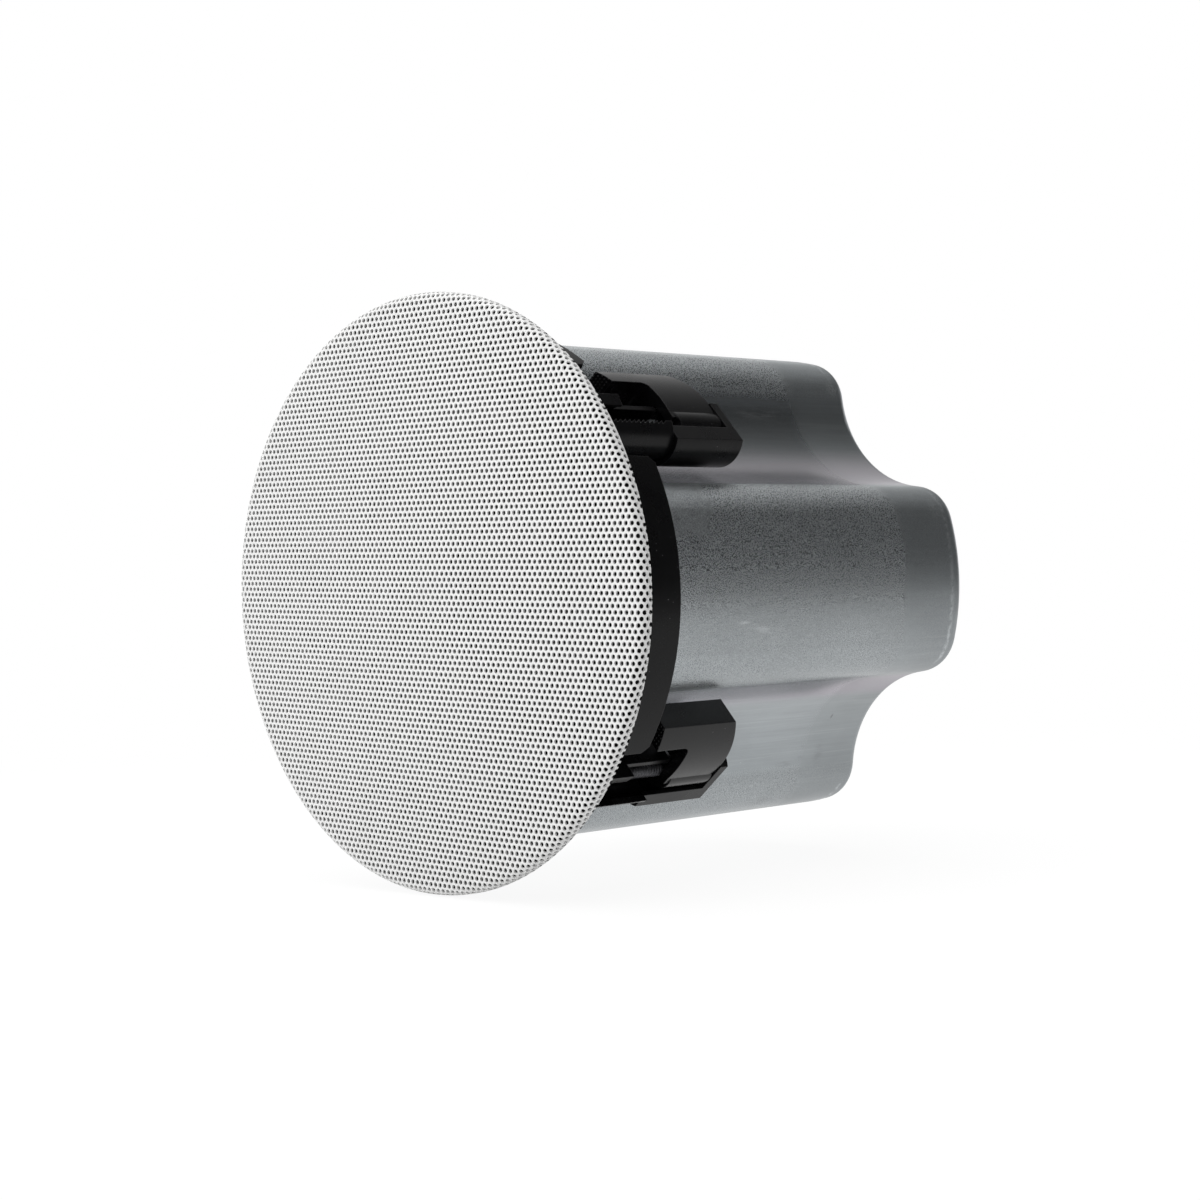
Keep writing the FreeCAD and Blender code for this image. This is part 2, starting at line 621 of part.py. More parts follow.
def tower_cap():
    # the sleeve over the tower's rear end, open towards the ear, with a thick end wall
    z = -TOWER_OFFSET
    reach = CAP_RADIUS + 1.0

    def capped(radius, flat, y0, y1):
        above = block(CLAMP_RADIUS + flat, CLAMP_RADIUS + 2 * reach, y0, y1, z - reach, z + reach)
        return cylinder(radius, y0, y1, CLAMP_RADIUS, z).cut(above)

    body = capped(CAP_RADIUS, CAP_FLAT, CAP_FRONT, CAP_REAR)
    body = body.cut(capped(CAP_INSIDE, CAP_FLAT - CAP_WALL, CAP_FRONT, CAP_REAR - CAP_END_WALL))
    outward = block(CLAMP_RADIUS - CAP_OPENING_INWARD, CLAMP_RADIUS + reach, CAP_FRONT, CAP_REAR - CAP_END_WALL,
                    -TOWER_EDGE, reach + TOWER_OFFSET)
    inward = block(CLAMP_RADIUS - reach, CLAMP_RADIUS, CAP_FRONT, CAP_REAR - CAP_END_WALL,
                   CAP_OPENING_INWARD, reach + TOWER_OFFSET)
    return body.cut(outward).cut(inward)


def ear():
    # the barrel on the screw, the arm that goes sideways and the leg that comes forward
    r = CLAMP_RADIUS

    def at(u, w):
        return point(r + u, EAR_PAD_Y, w)

    inside = math.sqrt(EAR_BARREL_RADIUS ** 2 - EAR_FACE_OUT ** 2)
    neck = TOWER_SIDE_LOW + EAR_OVER_TOWER
    beside = TOWER_SIDE + EAR_BESIDE_TOWER
    turn = (EAR_LEG_INSIDE + beside) / 2
    corners = [at(neck, 0.0), at(neck, beside), at(-EAR_ARM_INSIDE, beside), at(-EAR_ARM_INSIDE, turn),
               at(-EAR_LEG_DEPTH, EAR_LEG_INSIDE), at(-EAR_LEG_DEPTH, EAR_LEG_OUTSIDE), at(EAR_FACE_TIP, EAR_LEG_OUTSIDE)]
    start = at(EAR_FACE_OUT, inside)
    edges = [Part.LineSegment(a, b).toShape() for a, b in zip(corners, corners[1:])]
    edges.append(Part.Arc(corners[-1], at(EAR_FACE_MIDDLE, (inside + EAR_LEG_OUTSIDE) / 2), start).toShape())
    edges.append(Part.LineSegment(start, at(EAR_FACE_OUT, 0.0)).toShape())
    edges.append(Part.LineSegment(at(EAR_FACE_OUT, 0.0), corners[0]).toShape())
    body = Part.Face(Part.Wire(edges)).extrude(AXIS * (EAR_REAR - EAR_PAD_Y))
    # the notch between the leg and the tower
    floor = TOWER_REAR + EAR_TO_TOWER
    lean = EAR_NOTCH_RADIUS * (1 - math.sqrt(0.5))
    x = r - 2 * EAR_LEG_DEPTH
    a = point(x, floor - EAR_NOTCH_RADIUS, EAR_LEG_INSIDE)
    b = point(x, floor, EAR_LEG_INSIDE - EAR_NOTCH_RADIUS)
    middle = point(x, floor - lean, EAR_LEG_INSIDE - lean)
    c = point(x, floor, -EAR_LEG_INSIDE)
    d = point(x, EAR_PAD_Y - 1.0, -EAR_LEG_INSIDE)
    e = point(x, EAR_PAD_Y - 1.0, EAR_LEG_INSIDE)
    notch = [Part.Arc(a, middle, b).toShape()]
    notch += [Part.LineSegment(p, q).toShape() for p, q in ((b, c), (c, d), (d, e), (e, a))]
    body = body.cut(Part.Face(Part.Wire(notch)).extrude(point(4 * EAR_LEG_DEPTH, 0, 0)))
    # the rear edge falls away in a curve towards the leg's tip
    a = point(x, EAR_REAR, beside)
    middle = point(x, (EAR_REAR + EAR_TIP_REAR) / 2 + EAR_REAR_BOW, (beside + EAR_LEG_OUTSIDE) / 2)
    b = point(x, EAR_TIP_REAR, EAR_LEG_OUTSIDE)
    c = point(x, EAR_REAR + 1.0, EAR_LEG_OUTSIDE)
    d = point(x, EAR_REAR + 1.0, beside)
    fall = [Part.Arc(a, middle, b).toShape()]
    fall += [Part.LineSegment(p, q).toShape() for p, q in ((b, c), (c, d), (d, a))]
    body = body.cut(Part.Face(Part.Wire(fall)).extrude(point(4 * EAR_LEG_DEPTH, 0, 0)))
    barrel = cylinder(EAR_BARREL_RADIUS, EAR_BARREL_FRONT, EAR_BARREL_FRONT + EAR_BARREL_LENGTH, r)
    bore = cylinder(SCREW_RADIUS + RUNNING_CLEARANCE, EAR_PAD_Y, CAP_REAR, r)
    return body.fuse(barrel).removeSplitter().cut(bore)


def clamp_screw():
    # a captive screw: pan head before the baffle, collar behind it
    head = cylinder(SCREW_HEAD_RADIUS, BAFFLE_FRONT - SCREW_HEAD_HEIGHT, BAFFLE_FRONT, CLAMP_RADIUS)
    rim = [e for e in head.Edges if e.Closed and abs(e.CenterOfMass.y - BAFFLE_FRONT + SCREW_HEAD_HEIGHT) < 1e-6]
    head = head.makeFillet(SCREW_HEAD_HEIGHT * 0.45, rim)
    front = BAFFLE_FRONT - SCREW_HEAD_HEIGHT
    for width, height in ((SCREW_RECESS_WIDTH, SCREW_HEAD_RADIUS * 1.2), (SCREW_HEAD_RADIUS * 1.2, SCREW_RECESS_WIDTH)):
        head = head.cut(centred_block(width, front, front + SCREW_RECESS_DEPTH, height, CLAMP_RADIUS))
    collar_y = BAFFLE_REAR + SCREW_COLLAR_PLAY
    collar = cylinder(SCREW_COLLAR_RADIUS, collar_y, collar_y + SCREW_COLLAR_WIDTH, CLAMP_RADIUS)
    shank = cylinder(SCREW_RADIUS, BAFFLE_FRONT - 0.5, CAP_REAR - CAP_END_WALL - CAP_FIT * 2, CLAMP_RADIUS)
    return union([head, collar, shank])


def can_outline(offset, y):
    # four lobes on a circle, rounded shoulders, four flutes between them
    radius = CAN_RADIUS + offset
    shoulder = CAN_SHOULDER + offset
    flute = CAN_FLUTE - offset
    reach = radius - shoulder
    cosine = (reach ** 2 + CAN_FLUTE_PITCH ** 2 - (shoulder + flute) ** 2) / (2 * reach * CAN_FLUTE_PITCH)
    lean = CAN_LOBE_STEP / 2 - math.degrees(math.acos(cosine))

    def polar(r, degrees):
        x, z = around(r, degrees)
        return point(x, y, z)

    edges = []
    for k in range(CAN_LOBES):
        base = CAN_LOBE_STEP * k
        following = base + CAN_LOBE_STEP - lean
        flute_centre = polar(CAN_FLUTE_PITCH, base + CAN_LOBE_STEP / 2)
        first = polar(reach, base + lean)
        second = polar(reach, following)
        tangents = []
        for centre in (first, second):
            direction = (flute_centre - centre).normalize()
            tangents.append(centre + direction * shoulder)
        middles = []
        for centre, start, end in ((first, polar(radius, base + lean), tangents[0]),
                                   (second, tangents[1], polar(radius, following))):
            half = ((start - centre).normalize() + (end - centre).normalize()).normalize()
            middles.append(centre + half * shoulder)
        edges.append(Part.Arc(polar(radius, base - lean), polar(radius, base), polar(radius, base + lean)).toShape())
        edges.append(Part.Arc(polar(radius, base + lean), middles[0], tangents[0]).toShape())
        edges.append(Part.Arc(tangents[0], polar(CAN_FLUTE_PITCH - flute, base + CAN_LOBE_STEP / 2), tangents[1]).toShape())
        edges.append(Part.Arc(tangents[1], middles[1], polar(radius, following)).toShape())
    return Part.Wire(edges)


def can_solid(offset, front, rear, edge_radius):
    body = Part.Face(can_outline(offset, front)).extrude(AXIS * (rear - front))
    edges = [e for e in body.Edges if e.BoundBox.YMin > rear - 1e-6]
    return body.makeFillet(edge_radius, edges)


def rear_wall_screw_places():
    half = COVER_LENGTH / 2 + COVER_EAR / 2
    return [(-half, 0.0), (half, 0.0)]


def bracket_screw_places():
    half = CORE_WIDTH / 2 + BRACKET_SHEET + BRACKET_FOOT / 2
    return [(-half, TRANSFORMER_Z), (half, TRANSFORMER_Z)]


def board_post_places():
    half_x = BOARD_WIDTH / 2 - BOARD_POST_INSET
    half_z = BOARD_HEIGHT / 2 - BOARD_POST_INSET
    return [(sx * half_x, BOARD_Z + sz * half_z) for sx in (-1, 1) for sz in (-1, 1)]


def back_can():
    body = can_solid(0.0, CAN_FRONT, CAN_REAR, CAN_EDGE)
    body = body.cut(can_solid(-CAN_WALL, CAN_FRONT, REAR_INSIDE, CAN_EDGE - CAN_WALL))
    lugs = []
    for angle in lug_angles():
        lug = block(LUG_RADIUS - LUG_REACH, CAN_RADIUS - CAN_WALL / 2, CAN_FRONT, CAN_FRONT + CAN_WALL,
                    -LUG_WIDTH / 2, LUG_WIDTH / 2)
        lug = lug.cut(cylinder(CAN_SCREW_RADIUS, CAN_FRONT, CAN_FRONT + CAN_WALL, LUG_RADIUS))
        lugs.append(turned(lug, angle))
    body = union([body] + lugs)
    neck = TERMINAL_NECK_INSET - HOLE_CLEARANCE
    cuts = [centred_block(TERMINAL_LENGTH - 2 * neck, REAR_INSIDE, CAN_REAR, TERMINAL_WIDTH - 2 * neck)]
    for x, z in rear_wall_screw_places():
        cuts.append(cylinder(COVER_SCREW, REAR_INSIDE, CAN_REAR, x, z))
    for x, z in bracket_screw_places():
        cuts.append(cylinder(BRACKET_SCREW, REAR_INSIDE, CAN_REAR, x, z))
    cuts.append(cylinder(LOOP_RIVET, REAR_INSIDE, CAN_REAR, 0.0, LOOP_Z))
    return body.cut(Part.makeCompound(cuts))


def can_gasket():
    ring = Part.Face(can_outline(GASKET_OUTSIDE, BAFFLE_REAR)).extrude(AXIS * GASKET_THICKNESS)
    hole = Part.Face(can_outline(-GASKET_INSIDE, BAFFLE_REAR)).extrude(AXIS * GASKET_THICKNESS)
    return ring.cut(hole)


def can_screws():
    screws = []
    for angle in lug_angles():
        x, z = around(LUG_RADIUS, angle)
        screws.append(pan_screw(CAN_SCREW_RADIUS, CAN_SCREW_HEAD, CAN_SCREW_HEAD_HEIGHT, BAFFLE_FRONT, CAN_SCREW_LENGTH, x, z))
    return Part.makeCompound(screws)


def woofer_basket():
    t = BASKET_SHEET
    front, rear = BASKET_FRONT, BAFFLE_FRONT
    outer = [(BASKET_RADIUS, front), (BASKET_RADIUS, rear), (BASKET_BODY, rear), (BASKET_SHOULDER, BASKET_SHOULDER_Y),
             (SPIDER_LEDGE_OUTER, SPIDER_LEDGE_Y + t), (SPIDER_LEDGE_INNER, SPIDER_LEDGE_Y + t),
             (SPIDER_LEDGE_INNER, BASKET_FLOOR_Y), (BASKET_FLOOR_HOLE, BASKET_FLOOR_Y)]
    inner = [(BASKET_FLOOR_HOLE, BASKET_FLOOR_Y - t), (SPIDER_LEDGE_INNER - t, BASKET_FLOOR_Y - t),
             (SPIDER_LEDGE_INNER - t, SPIDER_LEDGE_Y), (SPIDER_LEDGE_OUTER - t / 2, SPIDER_LEDGE_Y),
             (BASKET_SHOULDER - t, BASKET_SHOULDER_Y - t / 2), (SURROUND_SEAT + 0.5, rear), (SURROUND_SEAT, front)]
    basket = spun(outline(outer + inner))
    window = Part.Face(Part.Wire(outline([(SPIDER_LEDGE_OUTER + 2.5, BASKET_SHOULDER_Y + 3.0),
                                          (BASKET_BODY + 2.0, BASKET_SHOULDER_Y + 1.0),
                                          (BASKET_BODY + 2.0, SPIDER_LEDGE_Y - 2.5),
                                          (SPIDER_LEDGE_OUTER + 2.5, SPIDER_LEDGE_Y - 2.5)])))
    window = window.revolve(ORIGIN, AXIS, -BASKET_WINDOW_ANGLE)
    for k in range(BASKET_WINDOWS):
        basket = basket.cut(turned(window, 360.0 / BASKET_WINDOWS * k - BASKET_WINDOW_ANGLE / 2))
    for angle in woofer_screw_angles():
        x, z = around(WOOFER_SCREW_PITCH, angle)
        basket = basket.cut(cylinder(WOOFER_SCREW_RADIUS + HOLE_CLEARANCE, front, rear, x, z))
    return basket


def woofer_screws():
    screws = []
    for angle in woofer_screw_angles():
        x, z = around(WOOFER_SCREW_PITCH, angle)
        screws.append(pan_screw(WOOFER_SCREW_RADIUS, WOOFER_SCREW_HEAD, WOOFER_SCREW_HEAD_HEIGHT, BASKET_FRONT,
                                WOOFER_SCREW_LENGTH, x, z))
    return Part.makeCompound(screws)


def woofer_surround():
    # a flat outer ring, a half roll that stands forward and a flat inner ring on the cone
    t = SURROUND_THICKNESS
    rear = BASKET_FRONT
    front = rear - t
    middle = (SURROUND_SEAT + CONE_RADIUS) / 2
    a, b = (SURROUND_SEAT, front), (CONE_RADIUS, front)
    c, d = (CONE_RADIUS + t, rear), (SURROUND_SEAT - t, rear)
    edges = [line((SURROUND_OUTER, rear), (SURROUND_OUTER, front)), line((SURROUND_OUTER, front), a),
             arc(a, (middle, front - SURROUND_HEIGHT), b), line(b, (SURROUND_INNER, front)),
             line((SURROUND_INNER, front), (SURROUND_INNER, rear)), line((SURROUND_INNER, rear), c),
             arc(c, (middle, front - SURROUND_HEIGHT + t), d), line(d, (SURROUND_OUTER, rear))]
    return spun(edges)


def cone_y(radius, offset):
    # the cone's front face, or one behind it by the offset, along the bowed side
    share = (CONE_RADIUS - radius) / (CONE_RADIUS - FORMER_RADIUS)
    return BASKET_FRONT + share * (CONE_NECK_Y - BASKET_FRONT) + 4 * CONE_BOW * share * (1 - share) + offset


def woofer_cone():
    middle = (CONE_RADIUS + FORMER_RADIUS) / 2
    t = CONE_THICKNESS
    a, b = (CONE_RADIUS, cone_y(CONE_RADIUS, 0.0)), (FORMER_RADIUS, cone_y(FORMER_RADIUS, 0.0))
    c, d = (FORMER_RADIUS, cone_y(FORMER_RADIUS, t)), (CONE_RADIUS, cone_y(CONE_RADIUS, t))
    edges = [arc(a, (middle, cone_y(middle, 0.0)), b), line(b, c), arc(c, (middle, cone_y(middle, t)), d), line(d, a)]
    return spun(edges)


def dust_cap():
    # a round cap glued on the cone by its rim
    y = cone_y(CAP_DOME_RADIUS, 0.0) - CAP_DOME_GLUE
    inner = CAP_DOME_RADIUS - CAP_DOME_RIM
    top = y - CAP_DOME_HEIGHT
    edges = [cap_arc(CAP_DOME_RADIUS, y, CAP_DOME_HEIGHT), line((0.0, top), (0.0, top + CONE_THICKNESS)),
             cap_arc(inner, y, CAP_DOME_HEIGHT - CONE_THICKNESS), line((inner, y), (CAP_DOME_RADIUS, y))]
    return spun(edges)


def voice_coil():
    inner = FORMER_RADIUS - FORMER_WALL
    former = tube(inner, FORMER_RADIUS, CONE_NECK_Y - FORMER_PAST_NECK, COIL_FRONT + COIL_LENGTH)
    coil = tube(inner, FORMER_RADIUS + COIL_BUILD, COIL_FRONT, COIL_FRONT + COIL_LENGTH)
    return former.fuse(coil).removeSplitter()


def woofer_spider():
    # a flat landing ring and concentric rolls in to the former
    t = CONE_THICKNESS
    y = SPIDER_LEDGE_Y
    start = SPIDER_LEDGE_INNER
    step = (start - FORMER_RADIUS) / SPIDER_ROLLS
    front, back = [], []
    for k in range(SPIDER_ROLLS):
        a = start - k * step
        b = a - step
        sign = -1.0 if k % 2 else 1.0
        front.append(arc((a, y - t), ((a + b) / 2, y - t - sign * SPIDER_ROLL_HEIGHT), (b, y - t)))
        back.append(arc((b, y), ((a + b) / 2, y - sign * SPIDER_ROLL_HEIGHT), (a, y)))
    edges = [line((SPIDER_OUTER, y), (SPIDER_OUTER, y - t)), line((SPIDER_OUTER, y - t), (start, y - t))]
    edges += front + [line((FORMER_RADIUS, y - t), (FORMER_RADIUS, y))] + back[::-1]
    edges.append(line((start, y), (SPIDER_OUTER, y)))
    return spun(edges)


def top_plate():
    return tube(FORMER_RADIUS + COIL_BUILD + GAP_CLEARANCE, TOP_PLATE_RADIUS, BASKET_FLOOR_Y, TOP_PLATE_REAR)


def woofer_magnet():
    return tube(MAGNET_RING_INNER, MAGNET_RING_OUTER, TOP_PLATE_REAR, MAGNET_RING_REAR)


def yoke():
    plate = cylinder(TOP_PLATE_RADIUS, MAGNET_RING_REAR, MAGNET_RING_REAR + BACK_PLATE_THICKNESS)
    pole = cylinder(POLE_RADIUS, BASKET_FLOOR_Y, MAGNET_RING_REAR)
    vent = cylinder(POLE_VENT, BASKET_FLOOR_Y, MAGNET_RING_REAR + BACK_PLATE_THICKNESS)
    return plate.fuse(pole).removeSplitter().cut(vent)


def tweeter_bridge():
    # arms from the basket's flange to the hub that carries the tweeter
    parts = [tube(TWEETER_CUP_RADIUS, TWEETER_CUP_RADIUS + 4.0, BRIDGE_FRONT, BRIDGE_REAR)]
    half = BRIDGE_ARM_WIDTH / 2
    for k in range(BRIDGE_ARMS):
        arm = block(TWEETER_CUP_RADIUS + 2.0, BRIDGE_FOOT_OUTER, BRIDGE_FRONT, BRIDGE_REAR, -half, half)
        foot = block(BRIDGE_FOOT_INNER, BRIDGE_FOOT_OUTER, BRIDGE_FRONT, BASKET_FRONT, -half, half)
        parts.append(turned(arm.fuse(foot), BRIDGE_FIRST_ANGLE + 360.0 / BRIDGE_ARMS * k))
    return union(parts)


def tweeter_cup():
    rear = TWEETER_CUP_REAR
    cup = cylinder(TWEETER_CUP_RADIUS, BRIDGE_FRONT, rear)
    hollow = cylinder(TWEETER_CUP_RADIUS - TWEETER_CUP_WALL, BRIDGE_FRONT, rear - TWEETER_CUP_WALL)
    rim = [e for e in cup.Edges if e.Closed and abs(e.CenterOfMass.y - rear) < 1e-6]
    return cup.makeFillet(TWEETER_CUP_WALL, rim).cut(hollow)


def tweeter_plate():
    # the front plate, whose throat opens as a short horn
    front = BRIDGE_FRONT - TWEETER_PLATE_THICKNESS
    middle = (TWEETER_THROAT + TWEETER_MOUTH) / 2
    edges = [line((TWEETER_PLATE_RADIUS, BRIDGE_FRONT), (TWEETER_PLATE_RADIUS, front)),
             line((TWEETER_PLATE_RADIUS, front), (TWEETER_MOUTH, front)),
             arc((TWEETER_MOUTH, front), (middle - 0.8, front + TWEETER_PLATE_THICKNESS * 0.42), (TWEETER_THROAT, BRIDGE_FRONT)),
             line((TWEETER_THROAT, BRIDGE_FRONT), (TWEETER_PLATE_RADIUS, BRIDGE_FRONT))]
    return spun(edges)


def tweeter_dome():
    # a soft dome that stands on the motor by its rim
    rim = BRIDGE_FRONT + TWEETER_DOME_WALL
    radius = TWEETER_THROAT - TWEETER_DOME_FIT
    inner = radius - TWEETER_DOME_RIM
    top = rim - TWEETER_DOME_HEIGHT
    edges = [cap_arc(radius, rim, TWEETER_DOME_HEIGHT), line((0.0, top), (0.0, top + TWEETER_DOME_WALL)),
             cap_arc(inner, rim, TWEETER_DOME_HEIGHT - TWEETER_DOME_WALL), line((inner, rim), (radius, rim))]
    return spun(edges)


def tweeter_motor():
    front = BRIDGE_FRONT + TWEETER_DOME_WALL
    return cylinder(TWEETER_MOTOR_RADIUS, front, TWEETER_CUP_REAR - TWEETER_CUP_WALL)


def selector_switch():
    x, z = around(SELECTOR_RADIUS, SELECTOR_ANGLE)
    body = centred_block(SELECTOR_BODY, BAFFLE_REAR, BAFFLE_REAR + SELECTOR_DEPTH, SELECTOR_BODY, x, z)
    corners = [e for e in body.Edges if abs(e.tangentAt(e.FirstParameter).y) > 0.9]
    body = body.makeFillet(2.0, corners)
    bush = cylinder(SELECTOR_BUSH, SELECTOR_BUSH_FRONT, BAFFLE_REAR + 1.0, x, z)
    tags = [centred_block(1.2, BAFFLE_REAR + SELECTOR_DEPTH - 0.5, BAFFLE_REAR + SELECTOR_DEPTH + 5.0, 3.0, x + dx, z + dz)
            for dx in (-1.5 * SELECTOR_TAG_PITCH, -0.5 * SELECTOR_TAG_PITCH, 0.5 * SELECTOR_TAG_PITCH,
                       1.5 * SELECTOR_TAG_PITCH) for dz in (-SELECTOR_TAG_PITCH, SELECTOR_TAG_PITCH)]
    bore = cylinder(SELECTOR_SHAFT + RUNNING_CLEARANCE, SELECTOR_BUSH_FRONT, BAFFLE_REAR + SELECTOR_DEPTH / 2, x, z)
    return union([body, bush] + tags).cut(bore)


def selector_nut():
    x, z = around(SELECTOR_RADIUS, SELECTOR_ANGLE)
    nut = hexagon_block(SELECTOR_NUT_ACROSS, BAFFLE_FRONT - SELECTOR_NUT_THICKNESS, BAFFLE_FRONT, x, z)
    return nut.cut(cylinder(SELECTOR_BUSH, 0.0, BAFFLE_REAR, x, z))


def selector_knob():
    # a round knob with a raised pointer, on the switch's shaft
    x, z = around(SELECTOR_RADIUS, SELECTOR_ANGLE)
    rear = SELECTOR_BUSH_FRONT - KNOB_TO_BUSH
    head = cylinder(KNOB_RADIUS, KNOB_FRONT, rear, x, z)
    rim = [e for e in head.Edges if e.Closed and abs(e.CenterOfMass.y - KNOB_FRONT) < 1e-6]
    head = head.makeFillet(1.0, rim)
    flutes = []
    for k in range(KNOB_FLUTES):
        dx, dz = around(KNOB_RADIUS + 0.5, 360.0 / KNOB_FLUTES * (k + 0.5))
        flutes.append(cylinder(KNOB_FLUTE_RADIUS, KNOB_FRONT + 1.5, rear, x + dx, z + dz))
    head = head.cut(Part.makeCompound(flutes))
    pointer = block(x - KNOB_POINTER_WIDTH / 2, x + KNOB_POINTER_WIDTH / 2, KNOB_FRONT - KNOB_POINTER_HEIGHT,
                    KNOB_FRONT + 1.0, z, z + KNOB_RADIUS * 0.8)
    shaft = cylinder(SELECTOR_SHAFT, rear - 1.0, BAFFLE_REAR + SELECTOR_DEPTH / 2 - 0.2, x, z)
    return union([head, pointer, shaft])


def transformer_core():
    # laminated window core, seen as a frame round the winding
    rear = REAR_INSIDE - BRACKET_SHEET
    front = rear - CORE_HEIGHT
    core = centred_block(CORE_WIDTH, front, rear, CORE_STACK, 0.0, TRANSFORMER_Z)
    leg = CORE_WIDTH / 6
    for side in (-1, 1):
        window = centred_block(leg, front + leg, rear - leg, CORE_STACK, side * (leg * 1.5 - CORE_WINDOW_SHIFT), TRANSFORMER_Z)
        core = core.cut(window)
    return core


def transformer_bobbin():
    # the winding round the middle leg, in the core's two windows
    rear = REAR_INSIDE - BRACKET_SHEET
    front = rear - CORE_HEIGHT
    leg = CORE_WIDTH / 6
    y0, y1 = front + leg + BOBBIN_FIT, rear - leg - BOBBIN_FIT
    outer = centred_block(4 * leg - 2 * CORE_WINDOW_SHIFT - 2 * BOBBIN_FIT, y0, y1, BOBBIN_STACK, 0.0, TRANSFORMER_Z)
    corners = [e for e in outer.Edges if abs(e.tangentAt(e.FirstParameter).y) > 0.9]
    outer = outer.makeFillet(3.0, corners)
    return outer.cut(centred_block(2 * leg - 2 * CORE_WINDOW_SHIFT + BOBBIN_SLIP, y0, y1, CORE_STACK + 2 * BOBBIN_SLIP,
                                   0.0, TRANSFORMER_Z))


def transformer_bracket():
    # a folded strap over the core, with a foot each side
    rear = REAR_INSIDE
    front = rear - CORE_HEIGHT - 2 * BRACKET_SHEET
    half = CORE_WIDTH / 2
    depth = CORE_STACK
    outer = centred_block(CORE_WIDTH + 2 * BRACKET_SHEET, front, rear, depth, 0.0, TRANSFORMER_Z)
    inner = centred_block(CORE_WIDTH, front + BRACKET_SHEET, rear, depth, 0.0, TRANSFORMER_Z)
    strap = outer.cut(inner)
    floor = centred_block(CORE_WIDTH + 2 * BRACKET_SHEET, rear - BRACKET_SHEET, rear, depth, 0.0, TRANSFORMER_Z)
    parts = [strap, floor]
    for side in (-1, 1):
        edge = side * (half + BRACKET_SHEET)
        tip = edge + side * BRACKET_FOOT
        parts.append(block(min(edge, tip), max(edge, tip), rear - BRACKET_SHEET, rear, TRANSFORMER_Z - depth / 2,
                           TRANSFORMER_Z + depth / 2))
    bracket = union(parts)
    for x, z in bracket_screw_places():
        bracket = bracket.cut(cylinder(BRACKET_SCREW + HOLE_CLEARANCE, rear - BRACKET_SHEET, rear, x, z))
    return bracket


def bracket_screws():
    seat = REAR_INSIDE - BRACKET_SHEET
    return Part.makeCompound([pan_screw(BRACKET_SCREW, BRACKET_SCREW_HEAD, BRACKET_SCREW_HEAD_HEIGHT, seat,
                                        BRACKET_SHEET + CAN_WALL, x, z) for x, z in bracket_screw_places()])


def crossover_board():
    board = centred_block(BOARD_WIDTH, BOARD_FRONT, BOARD_REAR, BOARD_HEIGHT, 0.0, BOARD_Z)
    for x, z in board_post_places():
        board = board.cut(cylinder(BOARD_PIN_RADIUS + HOLE_CLEARANCE / 2, BOARD_FRONT, BOARD_REAR, x, z))
    return board


def board_posts():
    # moulded snap posts glued to the rear wall, one through each corner of the board
    posts = []
    for x, z in board_post_places():
        post = cylinder(BOARD_POST_RADIUS, BOARD_REAR, REAR_INSIDE, x, z)
        pin = cylinder(BOARD_PIN_RADIUS, BOARD_FRONT - BOARD_PIN_HEIGHT / 2, BOARD_REAR + 0.5, x, z)
        head = cylinder(BOARD_PIN_HEAD, BOARD_FRONT - BOARD_PIN_HEIGHT, BOARD_FRONT - 0.1, x, z)
        posts.append(union([post, pin, head]))
    return Part.makeCompound(posts)


def lying_cylinder(radius, length, x, z):
    # a round component lying on the board, along X
    return Part.makeCylinder(radius, length, point(x, BOARD_FRONT - radius, z), FreeCAD.Vector(1, 0, 0))


def capacitors():
    return Part.makeCompound([lying_cylinder(CAPACITOR_RADIUS, CAPACITOR_LENGTH, CAPACITOR_FROM_EDGE - BOARD_WIDTH / 2,
                                            BOARD_Z + side * CAPACITOR_PITCH / 2) for side in (-1, 1)])


def inductor():
    return tube(INDUCTOR_BORE, INDUCTOR_RADIUS, BOARD_FRONT - INDUCTOR_LENGTH, BOARD_FRONT, INDUCTOR_X, BOARD_Z)


def resistor():
    x = BOARD_WIDTH / 2 - RESISTOR_FROM_EDGE
    return centred_block(RESISTOR_SIZE, BOARD_FRONT - RESISTOR_SIZE, BOARD_FRONT, RESISTOR_LENGTH, x, BOARD_Z)


def damping_wadding():
    # a rolled sheet of fibre that lines the can between its flutes
    outer = CAN_FLUTE_PITCH - CAN_FLUTE - CAN_WALL - WADDING_RADIUS_CLEARANCE
    return tube(outer - WADDING_THICKNESS, outer, WADDING_FRONT, WADDING_REAR)


def terminal_block():
    body = centred_block(TERMINAL_LENGTH, CAN_REAR, CAN_REAR + TERMINAL_HEIGHT, TERMINAL_WIDTH)
    neck = centred_block(TERMINAL_LENGTH - 2 * TERMINAL_NECK_INSET, REAR_INSIDE - TERMINAL_NECK_LENGTH, CAN_REAR + 1.0,
                         TERMINAL_WIDTH - 2 * TERMINAL_NECK_INSET)
    body = body.fuse(neck).removeSplitter()
    pitch = TERMINAL_LENGTH / TERMINAL_WAYS
    for k in range(TERMINAL_WAYS):
        x = -TERMINAL_LENGTH / 2 + pitch * (k + 0.5)
        top = CAN_REAR + TERMINAL_HEIGHT
        body = body.cut(cylinder(TERMINAL_WELL, top - TERMINAL_WELL_DEPTH, top, x, TERMINAL_WELL_Z))
        body = body.cut(centred_block(TERMINAL_ENTRY, CAN_REAR + 2.5, CAN_REAR + 7.5, 2 * TERMINAL_ENTRY, x,
                                      TERMINAL_WIDTH / 2))
    return body


